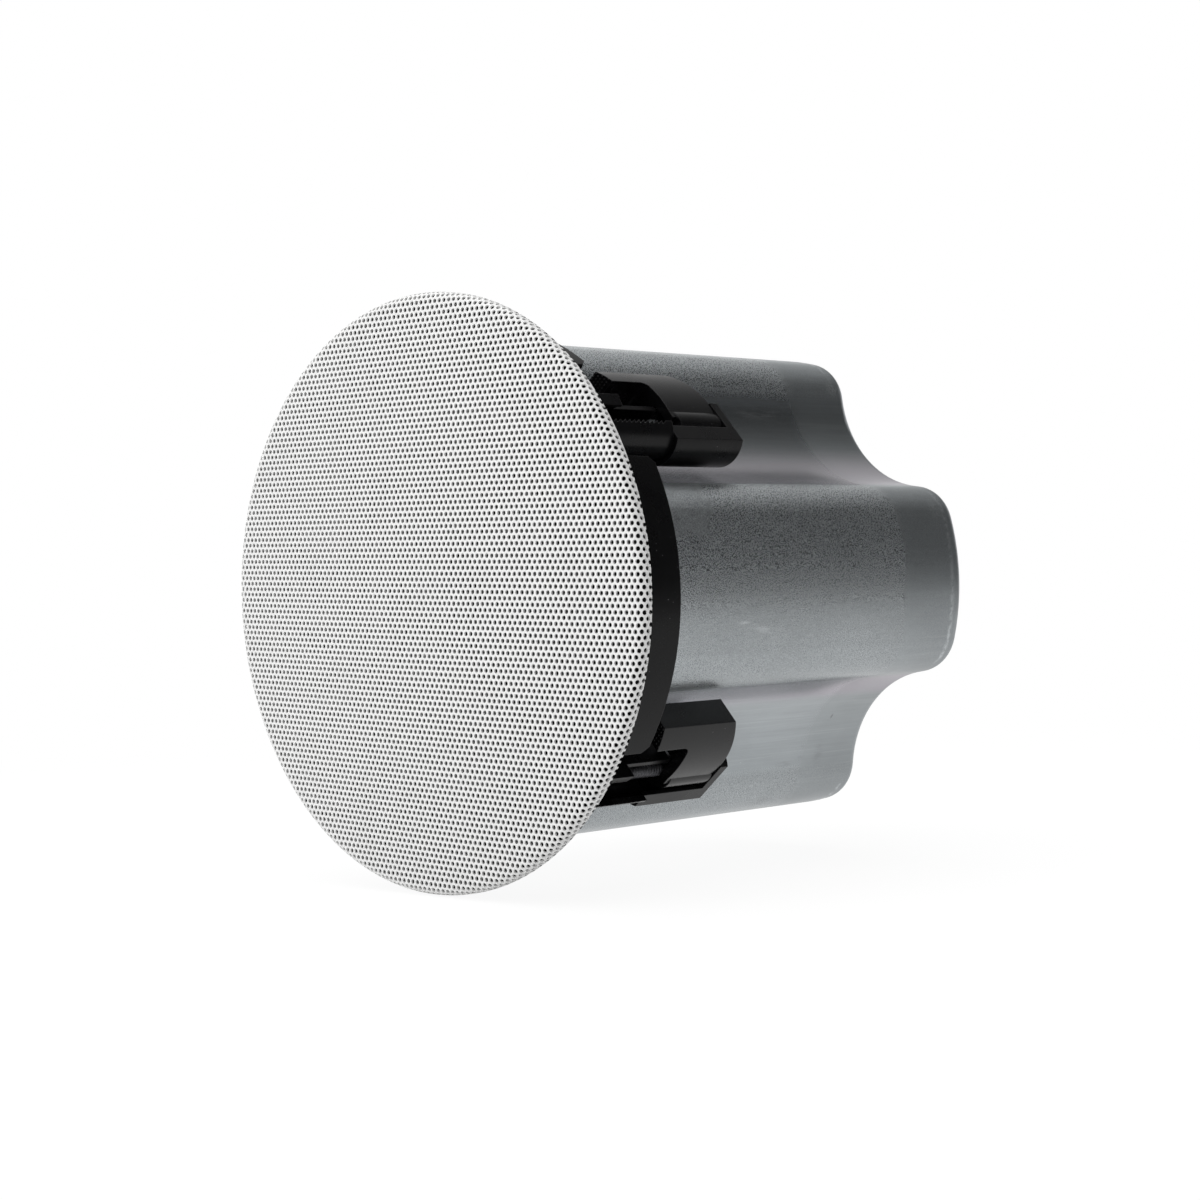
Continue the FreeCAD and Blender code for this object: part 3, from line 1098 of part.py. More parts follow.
def terminal_screws():
    pitch = TERMINAL_LENGTH / TERMINAL_WAYS
    top = CAN_REAR + TERMINAL_HEIGHT
    screws = []
    for k in range(TERMINAL_WAYS):
        x = -TERMINAL_LENGTH / 2 + pitch * (k + 0.5)
        seat = top - TERMINAL_WELL_DEPTH
        face = seat + TERMINAL_SCREW_LENGTH
        screw = cylinder(TERMINAL_WELL - HOLE_CLEARANCE, seat, face, x, TERMINAL_WELL_Z)
        screws.append(screw.cut(centred_block(2 * TERMINAL_WELL, face - 1.0, face, 0.8, x, TERMINAL_WELL_Z)))
    return Part.makeCompound(screws)


def terminal_cover():
    # a pressed box with an ear at each end and the cable hole in one long side
    rear = CAN_REAR + COVER_HEIGHT
    outer = centred_block(COVER_LENGTH, CAN_REAR, rear, COVER_WIDTH)
    upright = [e for e in outer.Edges if abs(e.tangentAt(e.FirstParameter).y) > 0.9]
    outer = outer.makeFillet(COVER_CORNER, upright)
    inner = centred_block(COVER_LENGTH - 2 * COVER_SHEET, CAN_REAR, rear - COVER_SHEET, COVER_WIDTH - 2 * COVER_SHEET)
    upright = [e for e in inner.Edges if abs(e.tangentAt(e.FirstParameter).y) > 0.9]
    inner = inner.makeFillet(COVER_CORNER - COVER_SHEET, upright)
    box = outer.cut(inner)
    parts = [box]
    half = COVER_EAR * 0.8
    for side in (-1, 1):
        edge = side * (COVER_LENGTH / 2 - COVER_SHEET / 2)
        tip = side * (COVER_LENGTH / 2 + COVER_EAR)
        parts.append(block(min(edge, tip), max(edge, tip), CAN_REAR, CAN_REAR + COVER_SHEET, -half, half))
    cover = union(parts)
    for x, z in rear_wall_screw_places():
        cover = cover.cut(cylinder(COVER_SCREW + HOLE_CLEARANCE, CAN_REAR, CAN_REAR + COVER_SHEET, x, z))
    y = CAN_REAR + COVER_HEIGHT / 2
    hole = Part.makeCylinder(CABLE_HOLE, 4 * COVER_SHEET, point(0, y, COVER_WIDTH / 2 - 3 * COVER_SHEET), point(0, 0, 1))
    # the half-cut knockout in the opposite side
    knock = Part.makeCylinder(CABLE_HOLE, COVER_SHEET / 2, point(0, y, -COVER_WIDTH / 2), point(0, 0, 1))
    keep = Part.makeCylinder(CABLE_HOLE - 0.8, COVER_SHEET / 2, point(0, y, -COVER_WIDTH / 2), point(0, 0, 1))
    return cover.cut(hole).cut(knock.cut(keep))


def cover_screws():
    seat = CAN_REAR + COVER_SHEET
    return Part.makeCompound([pan_screw(COVER_SCREW, COVER_SCREW_HEAD, COVER_SCREW_HEAD_HEIGHT, seat, COVER_SCREW_LENGTH,
                                        x, z, True) for x, z in rear_wall_screw_places()])


def cable_gland():
    # a threaded bush through the cover's side, with its flange outside
    y = CAN_REAR + COVER_HEIGHT / 2
    side = COVER_WIDTH / 2
    up = point(0, 0, 1)
    flange = Part.makeCylinder(GLAND_FLANGE, GLAND_FLANGE_THICKNESS, point(0, y, side), up)
    neck = Part.makeCylinder(CABLE_HOLE - HOLE_CLEARANCE, GLAND_LENGTH, point(0, y, side - GLAND_LENGTH + 6.0), up)
    bore = Part.makeCylinder(GLAND_BORE, 2 * GLAND_LENGTH, point(0, y, side - GLAND_LENGTH), up)
    return flange.fuse(neck).removeSplitter().cut(bore)


def gland_nut():
    y = CAN_REAR + COVER_HEIGHT / 2
    inner = COVER_WIDTH / 2 - COVER_SHEET
    corner = GLAND_NUT_ACROSS / 2 / math.cos(math.pi / 6)
    points = [point(corner * math.cos(math.pi / 3 * k), y + corner * math.sin(math.pi / 3 * k), inner) for k in range(6)]
    face = Part.Face(Part.makePolygon(points + points[:1]))
    nut = face.extrude(point(0, 0, -GLAND_NUT_THICKNESS))
    bore = Part.makeCylinder(CABLE_HOLE - HOLE_CLEARANCE, 2 * GLAND_NUT_THICKNESS,
                             point(0, y, inner - 1.5 * GLAND_NUT_THICKNESS), point(0, 0, 1))
    return nut.cut(bore)


def safety_loop():
    # a folded steel tab with an eye for the safety wire
    half = LOOP_WIDTH / 2
    z = LOOP_Z
    foot = block(-half, half, CAN_REAR, CAN_REAR + LOOP_SHEET, z - LOOP_FOOT / 2, z + LOOP_FOOT / 2)
    stand = block(-half, half, CAN_REAR, CAN_REAR + LOOP_HEIGHT, z + LOOP_FOOT / 2 - LOOP_SHEET, z + LOOP_FOOT / 2)
    eye_y = CAN_REAR + LOOP_HEIGHT - LOOP_EYE - LOOP_EYE_TO_TOP
    eye = Part.makeCylinder(LOOP_EYE, 2 * LOOP_FOOT, point(0, eye_y, z - LOOP_FOOT / 2), point(0, 0, 1))
    tab = foot.fuse(stand).removeSplitter().cut(eye)
    tops = [e for e in tab.Edges if abs(e.tangentAt(e.FirstParameter).z) > 0.9 and e.BoundBox.YMin > CAN_REAR + LOOP_HEIGHT - 1e-3]
    tab = tab.makeFillet(half * 0.7, tops)
    return tab.cut(cylinder(LOOP_RIVET, CAN_REAR, CAN_REAR + LOOP_SHEET, 0.0, z))


def loop_rivet():
    seat = CAN_REAR + LOOP_SHEET
    z = LOOP_Z
    head = cylinder(LOOP_RIVET_HEAD, seat, seat + LOOP_RIVET_HEAD_HEIGHT, 0.0, z)
    rim = [e for e in head.Edges if e.Closed and abs(e.CenterOfMass.y - seat - LOOP_RIVET_HEAD_HEIGHT) < 1e-6]
    head = head.makeFillet(LOOP_RIVET_HEAD_HEIGHT * 0.6, rim)
    shank = cylinder(LOOP_RIVET, REAR_INSIDE - LOOP_RIVET_HEAD_HEIGHT, seat + 0.5, 0.0, z)
    tail = cylinder(LOOP_RIVET_HEAD, REAR_INSIDE - LOOP_RIVET_HEAD_HEIGHT, REAR_INSIDE, 0.0, z)
    return union([head, shank, tail])


PIECES = [("grille", grille), ("grille_magnets", grille_magnets), ("mounting_frame", mounting_frame),
          ("can_gasket", can_gasket), ("back_can", back_can), ("can_screws", can_screws),
          ("woofer_basket", woofer_basket), ("woofer_screws", woofer_screws), ("woofer_surround", woofer_surround),
          ("woofer_cone", woofer_cone), ("dust_cap", dust_cap), ("voice_coil", voice_coil),
          ("woofer_spider", woofer_spider), ("top_plate", top_plate), ("woofer_magnet", woofer_magnet), ("yoke", yoke),
          ("tweeter_bridge", tweeter_bridge), ("tweeter_cup", tweeter_cup), ("tweeter_plate", tweeter_plate),
          ("tweeter_dome", tweeter_dome), ("tweeter_motor", tweeter_motor), ("selector_switch", selector_switch),
          ("selector_nut", selector_nut), ("selector_knob", selector_knob), ("transformer_core", transformer_core),
          ("transformer_bobbin", transformer_bobbin), ("transformer_bracket", transformer_bracket),
          ("bracket_screws", bracket_screws), ("crossover_board", crossover_board), ("board_posts", board_posts),
          ("capacitors", capacitors), ("inductor", inductor), ("resistor", resistor),
          ("damping_wadding", damping_wadding), ("terminal_block", terminal_block),
          ("terminal_screws", terminal_screws), ("terminal_cover", terminal_cover), ("cover_screws", cover_screws),
          ("cable_gland", cable_gland), ("gland_nut", gland_nut), ("safety_loop", safety_loop),
          ("loop_rivet", loop_rivet)]


def main():
    os.makedirs("parts", exist_ok=True)
    shapes = {name: make() for name, make in PIECES}
    for k, angle in enumerate(clamp_angles(), start=1):
        shapes["tower_cap_%d" % k] = turned(tower_cap(), angle)
        shapes["ear_%d" % k] = turned(ear(), angle)
        shapes["clamp_screw_%d" % k] = turned(clamp_screw(), angle)
    for name, shape in shapes.items():
        shape.exportStep("parts/%s.step" % name)
        print("%-20s solids %2d valid %s volume %.0f" % (name, len(shape.Solids), shape.isValid(), shape.Volume))


main()
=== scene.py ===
import logging
import math
from dataclasses import dataclass, field
from enum import Enum
from typing import Callable, Sequence

import bpy
import numpy as np
from mathutils import Matrix, Vector


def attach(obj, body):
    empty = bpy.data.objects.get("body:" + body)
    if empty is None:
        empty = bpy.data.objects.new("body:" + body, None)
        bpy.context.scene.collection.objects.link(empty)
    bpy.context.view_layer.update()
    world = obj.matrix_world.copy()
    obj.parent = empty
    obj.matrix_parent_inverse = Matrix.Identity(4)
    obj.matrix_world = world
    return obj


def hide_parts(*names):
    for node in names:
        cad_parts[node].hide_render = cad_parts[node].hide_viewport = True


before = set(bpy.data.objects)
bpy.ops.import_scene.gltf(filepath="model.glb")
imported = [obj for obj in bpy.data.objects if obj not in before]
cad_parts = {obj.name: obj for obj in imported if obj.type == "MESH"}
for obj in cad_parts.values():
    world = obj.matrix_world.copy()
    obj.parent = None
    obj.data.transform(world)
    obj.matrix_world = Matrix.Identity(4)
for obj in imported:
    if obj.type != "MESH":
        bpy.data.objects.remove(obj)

# A ceiling loudspeaker, dressed: every length below is in metres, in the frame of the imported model.
# The loudspeaker's axis lies along Y, the grille faces -Y, and y = 0 is the face that seats on the panel.

LOG = logging.getLogger("ceiling_loudspeaker")
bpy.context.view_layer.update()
MM = 0.001

Colour = tuple[float, float, float]


class Slot(Enum):
    """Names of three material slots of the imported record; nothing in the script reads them."""

    GRILLE = "grille_paint"
    EAR = "ear_plastic"
    SCREW = "screw_steel"


class Shading(Enum):
    """How a mesh's faces are shaded, as the steepest angle that stays smooth."""

    FLAT = 0.0
    CREASED = 35.0


class Graph:
    """The node tree of one material, with short ways to add and join its nodes."""

    def __init__(self, name: str) -> None:
        """Starts a material that has one principled shader.

        Args:
            name: the material's name.
        """
        self.material = bpy.data.materials.new(name)
        self.material.use_nodes = True
        self.tree = self.material.node_tree
        self.shader = self.tree.nodes["Principled BSDF"]
        self._place: bpy.types.NodeSocket | None = None

    def add(self, kind: str, **settings: object) -> bpy.types.Node:
        """Adds one node.

        Args:
            kind: the node's type name.
            settings: the node's own properties.

        Returns:
            The new node.
        """
        node = self.tree.nodes.new(kind)
        for key, value in settings.items():
            setattr(node, key, value)
        return node

    def join(self, value: object, socket: bpy.types.NodeSocket) -> None:
        """Links a socket to another, or sets its value.

        Args:
            value: an output socket, a number or a colour.
            socket: the input that takes it.
        """
        if isinstance(value, bpy.types.NodeSocket):
            self.tree.links.new(value, socket)
        elif isinstance(value, tuple) and socket.type == "RGBA":
            socket.default_value = (*value, 1.0)
        else:
            socket.default_value = value

    def base(self, colour: Colour, roughness: float, metallic: float = 0.0, **others: float) -> None:
        """Sets the shader's plain values.

        Args:
            colour: the base colour.
            roughness: the roughness.
            metallic: the metallic share.
            others: other sockets by name, with _ for a space.
        """
        self.join(colour, self.shader.inputs["Base Color"])
        self.shader.inputs["Roughness"].default_value = roughness
        self.shader.inputs["Metallic"].default_value = metallic
        for key, value in others.items():
            self.shader.inputs[key.replace("_", " ")].default_value = value

    def place(self) -> bpy.types.NodeSocket:
        """Returns the object coordinates, in metres."""
        if self._place is None:
            self._place = self.add("ShaderNodeTexCoord").outputs["Object"]
        return self._place

    def stretched(self, scale: Colour, turn: Colour = (0.0, 0.0, 0.0)) -> bpy.types.NodeSocket:
        """Scales and turns the coordinates.

        Args:
            scale: the factor on each axis.
            turn: the turn about each axis, in radians.

        Returns:
            The changed coordinates.
        """
        mapping = self.add("ShaderNodeMapping")
        mapping.inputs["Scale"].default_value = scale
        mapping.inputs["Rotation"].default_value = turn
        self.join(self.place(), mapping.inputs["Vector"])
        return mapping.outputs["Vector"]

    def noise(self, scale: float, detail: float = 2.0, rough: float = 0.5,
              vector: bpy.types.NodeSocket | None = None, distortion: float = 0.0) -> bpy.types.NodeSocket:
        """Adds a noise texture.

        Args:
            scale: cells to the metre, before any stretch.
            detail: octaves.
            rough: how much the fine octaves weigh.
            vector: the coordinates, or None for the object's own.
            distortion: how much the pattern is warped.

        Returns:
            The noise, from 0 to 1.
        """
        node = self.add("ShaderNodeTexNoise")
        self.join(vector or self.place(), node.inputs["Vector"])
        node.inputs["Scale"].default_value = scale
        node.inputs["Detail"].default_value = detail
        node.inputs["Roughness"].default_value = rough
        node.inputs["Distortion"].default_value = distortion
        return node.outputs[0]

    def cells(self, scale: float, vector: bpy.types.NodeSocket | None = None,
              feature: str = "F1") -> bpy.types.NodeSocket:
        """Adds a cell texture.

        Args:
            scale: cells to the metre.
            vector: the coordinates, or None for the object's own.
            feature: which distance it gives.

        Returns:
            The distance in each cell.
        """
        node = self.add("ShaderNodeTexVoronoi", feature=feature)
        self.join(vector or self.place(), node.inputs["Vector"])
        node.inputs["Scale"].default_value = scale
        return node.outputs["Distance"]

    def axis(self, name: str) -> bpy.types.NodeSocket:
        """Returns one coordinate, X, Y or Z, in metres."""
        split = self.add("ShaderNodeSeparateXYZ")
        self.join(self.place(), split.inputs[0])
        return split.outputs[name]

    def radius(self) -> bpy.types.NodeSocket:
        """Returns the distance from the loudspeaker's axis, in metres."""
        across = self.maths("POWER", self.axis("X"), 2.0)
        upward = self.maths("POWER", self.axis("Z"), 2.0)
        return self.maths("SQRT", self.maths("ADD", across, upward))

    def spot(self, centre: Colour, reach: Colour, start: float = 0.2) -> bpy.types.NodeSocket:
        """Marks a soft ellipsoid round one place.

        Args:
            centre: the place, in metres.
            reach: how far it reaches on each axis.
            start: the share of the reach where it starts to fade.

        Returns:
            The mask, from 1 at the centre to 0 outside.
        """
        mapping = self.add("ShaderNodeMapping")
        mapping.inputs["Scale"].default_value = tuple(1.0 / r for r in reach)
        mapping.inputs["Location"].default_value = tuple(-c / r for c, r in zip(centre, reach))
        self.join(self.place(), mapping.inputs["Vector"])
        length = self.add("ShaderNodeVectorMath", operation="LENGTH")
        self.join(mapping.outputs["Vector"], length.inputs[0])
        return self.band(length.outputs["Value"], 1.0, start)

    def maths(self, operation: str, first: object, second: object = 0.0, clamp: bool = False) -> bpy.types.NodeSocket:
        """Adds one sum.

        Args:
            operation: the name of the operation.
            first: the first value.
            second: the second value.
            clamp: whether the result is held between 0 and 1.

        Returns:
            The result.
        """
        node = self.add("ShaderNodeMath", operation=operation, use_clamp=clamp)
        self.join(first, node.inputs[0])
        self.join(second, node.inputs[1])
        return node.outputs[0]

    def band(self, value: object, low: float, high: float, start: float = 0.0,
             end: float = 1.0) -> bpy.types.NodeSocket:
        """Carries a value smoothly from one level to another.

        Args:
            value: the value that is read.
            low: where the change starts.
            high: where it ends.
            start: the result below low.
            end: the result above high.

        Returns:
            The result.
        """
        node = self.add("ShaderNodeMapRange", interpolation_type="SMOOTHSTEP")
        for name, entry in (("Value", value), ("From Min", low), ("From Max", high), ("To Min", start),
                            ("To Max", end)):
            self.join(entry, node.inputs[name])
        return node.outputs["Result"]

    def mix(self, share: object, first: object, second: object, blend: str = "MIX") -> bpy.types.NodeSocket:
        """Mixes two colours.

        Args:
            share: how much of the second colour shows.
            first: the first colour.
            second: the second colour.
            blend: the way of mixing.

        Returns:
            The mixed colour.
        """
        node = self.add("ShaderNodeMix", data_type="RGBA", blend_type=blend)
        self.join(share, node.inputs["Factor"])
        self.join(first, node.inputs[6])
        self.join(second, node.inputs[7])
        return node.outputs[2]

    def edges(self, radius: float, low: float = 0.02, high: float = 0.3) -> bpy.types.NodeSocket:
        """Finds the piece's edges.

        Args:
            radius: how far an edge reaches.
            low: the change of direction where the edge starts to show.
            high: the change where it shows in full.

        Returns:
            The edge mask, from 0 to 1.
        """
        bevel = self.add("ShaderNodeBevel", samples=4)
        bevel.inputs["Radius"].default_value = radius
        plain = self.add("ShaderNodeNewGeometry")
        dot = self.add("ShaderNodeVectorMath", operation="DOT_PRODUCT")
        self.join(bevel.outputs[0], dot.inputs[0])
        self.join(plain.outputs["Normal"], dot.inputs[1])
        return self.band(self.maths("SUBTRACT", 1.0, dot.outputs["Value"]), low, high)

    def soften(self, radius: float) -> bpy.types.NodeSocket:
        """Returns a normal that rounds the edges by a radius."""
        bevel = self.add("ShaderNodeBevel", samples=4)
        bevel.inputs["Radius"].default_value = radius
        return bevel.outputs[0]

    def relief(self, height: object, depth: float, normal: bpy.types.NodeSocket | None = None) -> None:
        """Gives the surface a fine relief.

        Args:
            height: the relief, from 0 to 1.
            depth: what 1 stands for, in metres.
            normal: the normal that it changes, or None for the plain one.
        """
        bump = self.add("ShaderNodeBump")
        bump.inputs["Strength"].default_value = 1.0
        bump.inputs["Distance"].default_value = depth
        self.join(height, bump.inputs["Height"])
        if normal is not None:
            self.join(normal, bump.inputs["Normal"])
        self.join(bump.outputs[0], self.shader.inputs["Normal"])

    def colour(self, value: object) -> None:
        """Links the base colour."""
        self.join(value, self.shader.inputs["Base Color"])

    def roughness(self, value: object) -> None:
        """Links the roughness."""
        self.join(value, self.shader.inputs["Roughness"])


@dataclass(frozen=True)
class PowderCoat:
    """Baked white powder on sheet steel: a fine orange peel and a trace of dust."""

    name: str = "grille_powder_coat"
    shade: Colour = (0.71, 0.71, 0.705)
    dusty: Colour = (0.60, 0.60, 0.595)
    roughness: float = 0.48
    peel_scale: float = 2600.0
    peel_depth: float = 0.000012
    dust_scale: float = 38.0

    def material(self) -> bpy.types.Material:
        """Builds the finish.

        Returns:
            The material.
        """
        graph = Graph(self.name)
        graph.base(self.shade, self.roughness)
        dust = graph.band(graph.noise(self.dust_scale, 5.0, 0.6), 0.50, 0.80, 0.0, 0.35)
        graph.colour(graph.mix(dust, self.shade, self.dusty))
        graph.roughness(graph.band(graph.noise(self.peel_scale * 0.3, 2.0), 0.3, 0.7, 0.42, 0.54))
        graph.relief(graph.noise(self.peel_scale, 2.0, 0.5), self.peel_depth)
        return graph.material


@dataclass(frozen=True)
class MouldedPlastic:
    """A moulded piece: a low sheen, a fine spark-eroded grain, soft edges and a few specks of dust."""

    name: str
    shade: Colour
    edge_shade: Colour
    speck_shade: Colour
    roughness: tuple[float, float] = (0.34, 0.46)
    grain_scale: float = 2400.0
    grain_depth: float = 0.000010
    edge_radius: float = 0.00045
    speck_scale: float = 420.0
    speck_share: float = 0.085
    specular: float = 0.5

    def material(self) -> bpy.types.Material:
        """Builds the finish.

        Returns:
            The material.
        """
        graph = Graph(self.name)
        graph.base(self.shade, self.roughness[0], Specular_IOR_Level=self.specular)
        edge = graph.maths("MULTIPLY", graph.edges(self.edge_radius * 0.6), graph.band(graph.noise(160.0, 3.0), 0.3, 0.7, 0.35, 1.0))
        tone = graph.mix(edge, self.shade, self.edge_shade)
        cell = graph.cells(self.speck_scale)
        rare = graph.band(graph.noise(55.0, 3.0, 0.6), 0.50, 0.72)
        speck = graph.maths("MULTIPLY", graph.maths("LESS_THAN", cell, self.speck_share), rare)
        graph.colour(graph.mix(speck, tone, self.speck_shade))
        low, high = self.roughness
        graph.roughness(graph.band(graph.noise(75.0, 4.0, 0.6), 0.25, 0.75, low, high))
        graph.relief(graph.noise(self.grain_scale, 2.0), self.grain_depth, graph.soften(self.edge_radius))
        return graph.material


@dataclass(frozen=True)
class DrawnSteel:
    """Zinc-coated sheet, deep drawn: grained on the lobes, ironed smooth in the flutes and round the rear end, with a
    painted highlight in the upper flutes and painted shade on the underside and the rear rounding.
    """

    name: str = "can_zinc_steel"
    shade: Colour = (0.345, 0.371, 0.384)
    # a duller tone for the random clouding, and the colour of the painted shade on the rear rounding
    dull_and_rear_shade: Colour = (0.290, 0.312, 0.323)
    pale: Colour = (0.56, 0.585, 0.60)
    warm: Colour = (0.430, 0.385, 0.440)
    # the colour of the real stains and dark draw marks, and of the painted shade on the underside
    stain_and_shade: Colour = (0.17, 0.175, 0.18)
    worn_down: Colour = (0.215, 0.232, 0.240)
    # the colour of the painted highlight in the upper flutes
    painted_highlight: Colour = (0.62, 0.60, 0.64)
    lobe_start: tuple[float, float] = (0.0925, 0.0970)
    smooth_start: tuple[float, float] = (0.1800, 0.1880)
    rear_line: tuple[float, float, float] = (0.2150, 0.2172, 0.2195)
    grain: float = 2500.0

    def _streaks(self, graph: Graph) -> bpy.types.NodeSocket:
        """Returns long fine draw marks that run along the axis."""
        fine = graph.noise(1300.0, 2.0, 0.6, graph.stretched((1.0, 0.012, 1.0)))
        wide = graph.noise(260.0, 3.0, 0.6, graph.stretched((1.0, 0.03, 1.0)))
        return graph.maths("MULTIPLY", graph.maths("ADD", fine, wide), 0.5)

    def _rear_line_and_shade(self, graph: Graph, tone: bpy.types.NodeSocket, along: bpy.types.NodeSocket) -> bpy.types.NodeSocket:
        """Adds a pale broken line just before the rear edge's rounding, and painted shade on the rounding itself.

        Args:
            graph: the node tree.
            tone: the colour so far.
            along: the place along the axis.

        Returns:
            The new colour.
        """
        first, middle, last = self.rear_line
        line = graph.maths("MULTIPLY", graph.band(along, first, middle), graph.band(along, last, middle))
        broken = graph.maths("MULTIPLY", graph.band(graph.noise(420.0, 4.0, 0.65), 0.40, 0.60),
                             graph.band(graph.radius(), 0.1005, 0.1040))
        tone = graph.mix(graph.maths("MULTIPLY", line, graph.maths("MULTIPLY", broken, 0.75)), tone, self.pale)
        # painted shade: beyond the line, the rear rounding is darkened towards the dull colour
        return graph.mix(graph.band(along, last - 0.001, last + 0.003, 0.0, 0.45), tone, self.dull_and_rear_shade)

    def _marks(self, graph: Graph, tone: bpy.types.NodeSocket) -> bpy.types.NodeSocket:
        """Adds the rubbed and the stained places that years on a shelf leave.

        Args:
            graph: the node tree.
            tone: the colour so far.

        Returns:
            The new colour.
        """
        dust = graph.maths("MULTIPLY", graph.maths("LESS_THAN", graph.cells(260.0), 0.055),
                           graph.band(graph.noise(40.0, 3.0, 0.6), 0.52, 0.70))
        tone = graph.mix(graph.maths("MULTIPLY", dust, 0.8), tone, self.pale)
        dusty = graph.band(graph.noise(900.0, 4.0, 0.7), 0.40, 0.62)
        smeared = graph.band(graph.noise(700.0, 4.0, 0.65, graph.stretched((1.0, 0.12, 1.0))), 0.42, 0.60)
        pale = [
            ((0.0443, 0.160, 0.0760), (0.020, 0.030, 0.0034), 0.70, smeared),
            ((0.0410, 0.216, 0.0900), (0.012, 0.006, 0.0050), 0.75, dusty),
            ((0.0430, 0.176, 0.0900), (0.020, 0.012, 0.0060), 0.25, dusty),
            ((0.1049, 0.076, -0.0157), (0.010, 0.010, 0.0014), 0.70, smeared),
            ((0.1046, 0.088, -0.0185), (0.010, 0.016, 0.0022), 0.45, smeared),
            ((0.1049, 0.080, 0.0158), (0.010, 0.007, 0.0016), 0.55, smeared),
            ((0.1020, 0.212, 0.0310), (0.010, 0.006, 0.0060), 0.45, dusty),
        ]
        dark = [
            ((0.0442, 0.183, -0.0772), (0.020, 0.004, 0.0050), 0.22, smeared),
            ((0.0432, 0.195, -0.0790), (0.020, 0.005, 0.0075), 0.25, smeared),
            ((0.0432, 0.171, -0.0822), (0.020, 0.009, 0.0020), 0.30, smeared),
            ((0.0353, 0.161, -0.0985), (0.010, 0.012, 0.0025), 0.30, smeared),
            ((0.0517, 0.196, -0.0618), (0.003, 0.0010, 0.0016), 0.80, 1.0),
        ]
        for marks, colour in ((pale, self.pale), (dark, self.stain_and_shade)):
            for centre, reach, share, texture in marks:
                mask = graph.maths("MULTIPLY", graph.spot(centre, reach), texture)
                tone = graph.mix(graph.maths("MULTIPLY", mask, share), tone, colour)
        return tone

    def material(self) -> bpy.types.Material:
        """Builds the finish.

        Returns:
            The material.
        """
        graph = Graph(self.name)
        graph.base(self.shade, 0.30, 1.0)
        along = graph.axis("Y")
        lobe = graph.maths("MULTIPLY", graph.band(graph.radius(), *self.lobe_start),
                           graph.band(along, *self.smooth_start, 1.0, 0.40))
        speckle = graph.band(graph.noise(self.grain, 1.5, 0.6), 0.43, 0.59)
        cloud = graph.noise(24.0, 4.0, 0.6, graph.stretched((1.0, 0.45, 1.0)))
        streak = self._streaks(graph)
        tone = graph.mix(graph.band(cloud, 0.36, 0.66, 0.0, 0.7), self.shade, self.dull_and_rear_shade)
        tone = graph.mix(graph.band(streak, 0.50, 0.66, 0.0, 0.15), tone, self.pale)
        tone = graph.mix(graph.band(streak, 0.48, 0.36, 0.0, 0.10), tone, self.stain_and_shade)
        grained = graph.mix(speckle, self.worn_down, self.pale)
        tone = graph.mix(graph.maths("MULTIPLY", lobe, 0.72), tone, grained)
        # a warm cast lies in the flutes, where the sheet was drawn furthest inwards
        side = graph.maths("SUBTRACT", graph.maths("ABSOLUTE", graph.axis("X")),
                           graph.maths("ABSOLUTE", graph.axis("Z")))
        flank = graph.maths("MULTIPLY", graph.band(graph.radius(), 0.0700, 0.0770), graph.band(along, 0.2240, 0.2190))
        low = graph.maths("MULTIPLY", graph.band(graph.radius(), 0.0945, 0.0875), graph.band(side, 0.006, 0.016))
        flute = graph.maths("MULTIPLY", low, flank)
        tone = graph.mix(graph.maths("MULTIPLY", flute, graph.band(cloud, 0.3, 0.7, 0.35, 0.75)), tone, self.warm)
        # painted highlight: the flutes above the axis are lightened towards a pale colour, standing in for the light
        # that they reflect
        above = graph.band(graph.axis("Z"), 0.0, 0.012)
        deep = graph.maths("MULTIPLY", graph.band(graph.radius(), 0.0960, 0.0880), graph.band(side, -0.012, 0.010))
        upper_flute_highlight = graph.maths("MULTIPLY", graph.maths("MULTIPLY", deep, flank), graph.maths("MULTIPLY", above, 0.75))
        tone = graph.mix(upper_flute_highlight, tone, self.painted_highlight)
        # painted shade: the can's lower half, more so towards the rear, is darkened towards the stain colour
        below = graph.maths("MULTIPLY", graph.band(graph.axis("Z"), -0.004, -0.020),
                            graph.band(along, 0.14, 0.21, 0.0, 0.25))
        tone = graph.mix(below, tone, self.stain_and_shade)
        tone = self._marks(graph, self._rear_line_and_shade(graph, tone, along))
        graph.colour(tone)
        grainy = graph.maths("MULTIPLY", lobe, graph.band(speckle, 0.0, 1.0, 0.02, 0.28))
        smooth = graph.band(cloud, 0.3, 0.7, 0.215, 0.265)
        ironed = graph.maths("ADD", smooth, graph.band(along, *self.smooth_start, 0.0, 0.10))
        graph.roughness(graph.maths("ADD", ironed, grainy))
        height = graph.maths("ADD", graph.maths("MULTIPLY", streak, 0.3),
                             graph.maths("MULTIPLY", speckle, graph.band(lobe, 0.0, 1.0, 0.12, 0.8)))
        graph.relief(height, 0.000026)
        return graph.material


@dataclass(frozen=True)
class PlainMetal:
    """A small metal piece, plated, blackened or bare: fine brush marks and slightly worn edges."""

    name: str
    shade: Colour
    edge_shade: Colour
    roughness: tuple[float, float] = (0.24, 0.38)
    metallic: float = 1.0
    brush: Colour = (1.0, 1.0, 1.0)
    brush_scale: float = 900.0
    depth: float = 0.000008

    def material(self) -> bpy.types.Material:
        """Builds the finish.

        Returns:
            The material.
        """
        graph = Graph(self.name)
        graph.base(self.shade, self.roughness[0], self.metallic)
        marks = graph.noise(self.brush_scale, 3.0, 0.6, graph.stretched(self.brush))
        tone = graph.mix(graph.band(marks, 0.35, 0.65, 0.0, 0.35), self.shade, self.edge_shade)
        graph.colour(graph.mix(graph.edges(0.0003), tone, self.edge_shade))
        graph.roughness(graph.band(graph.noise(180.0, 3.0), 0.3, 0.7, *self.roughness))
        graph.relief(marks, self.depth, graph.soften(0.0002))
        return graph.material


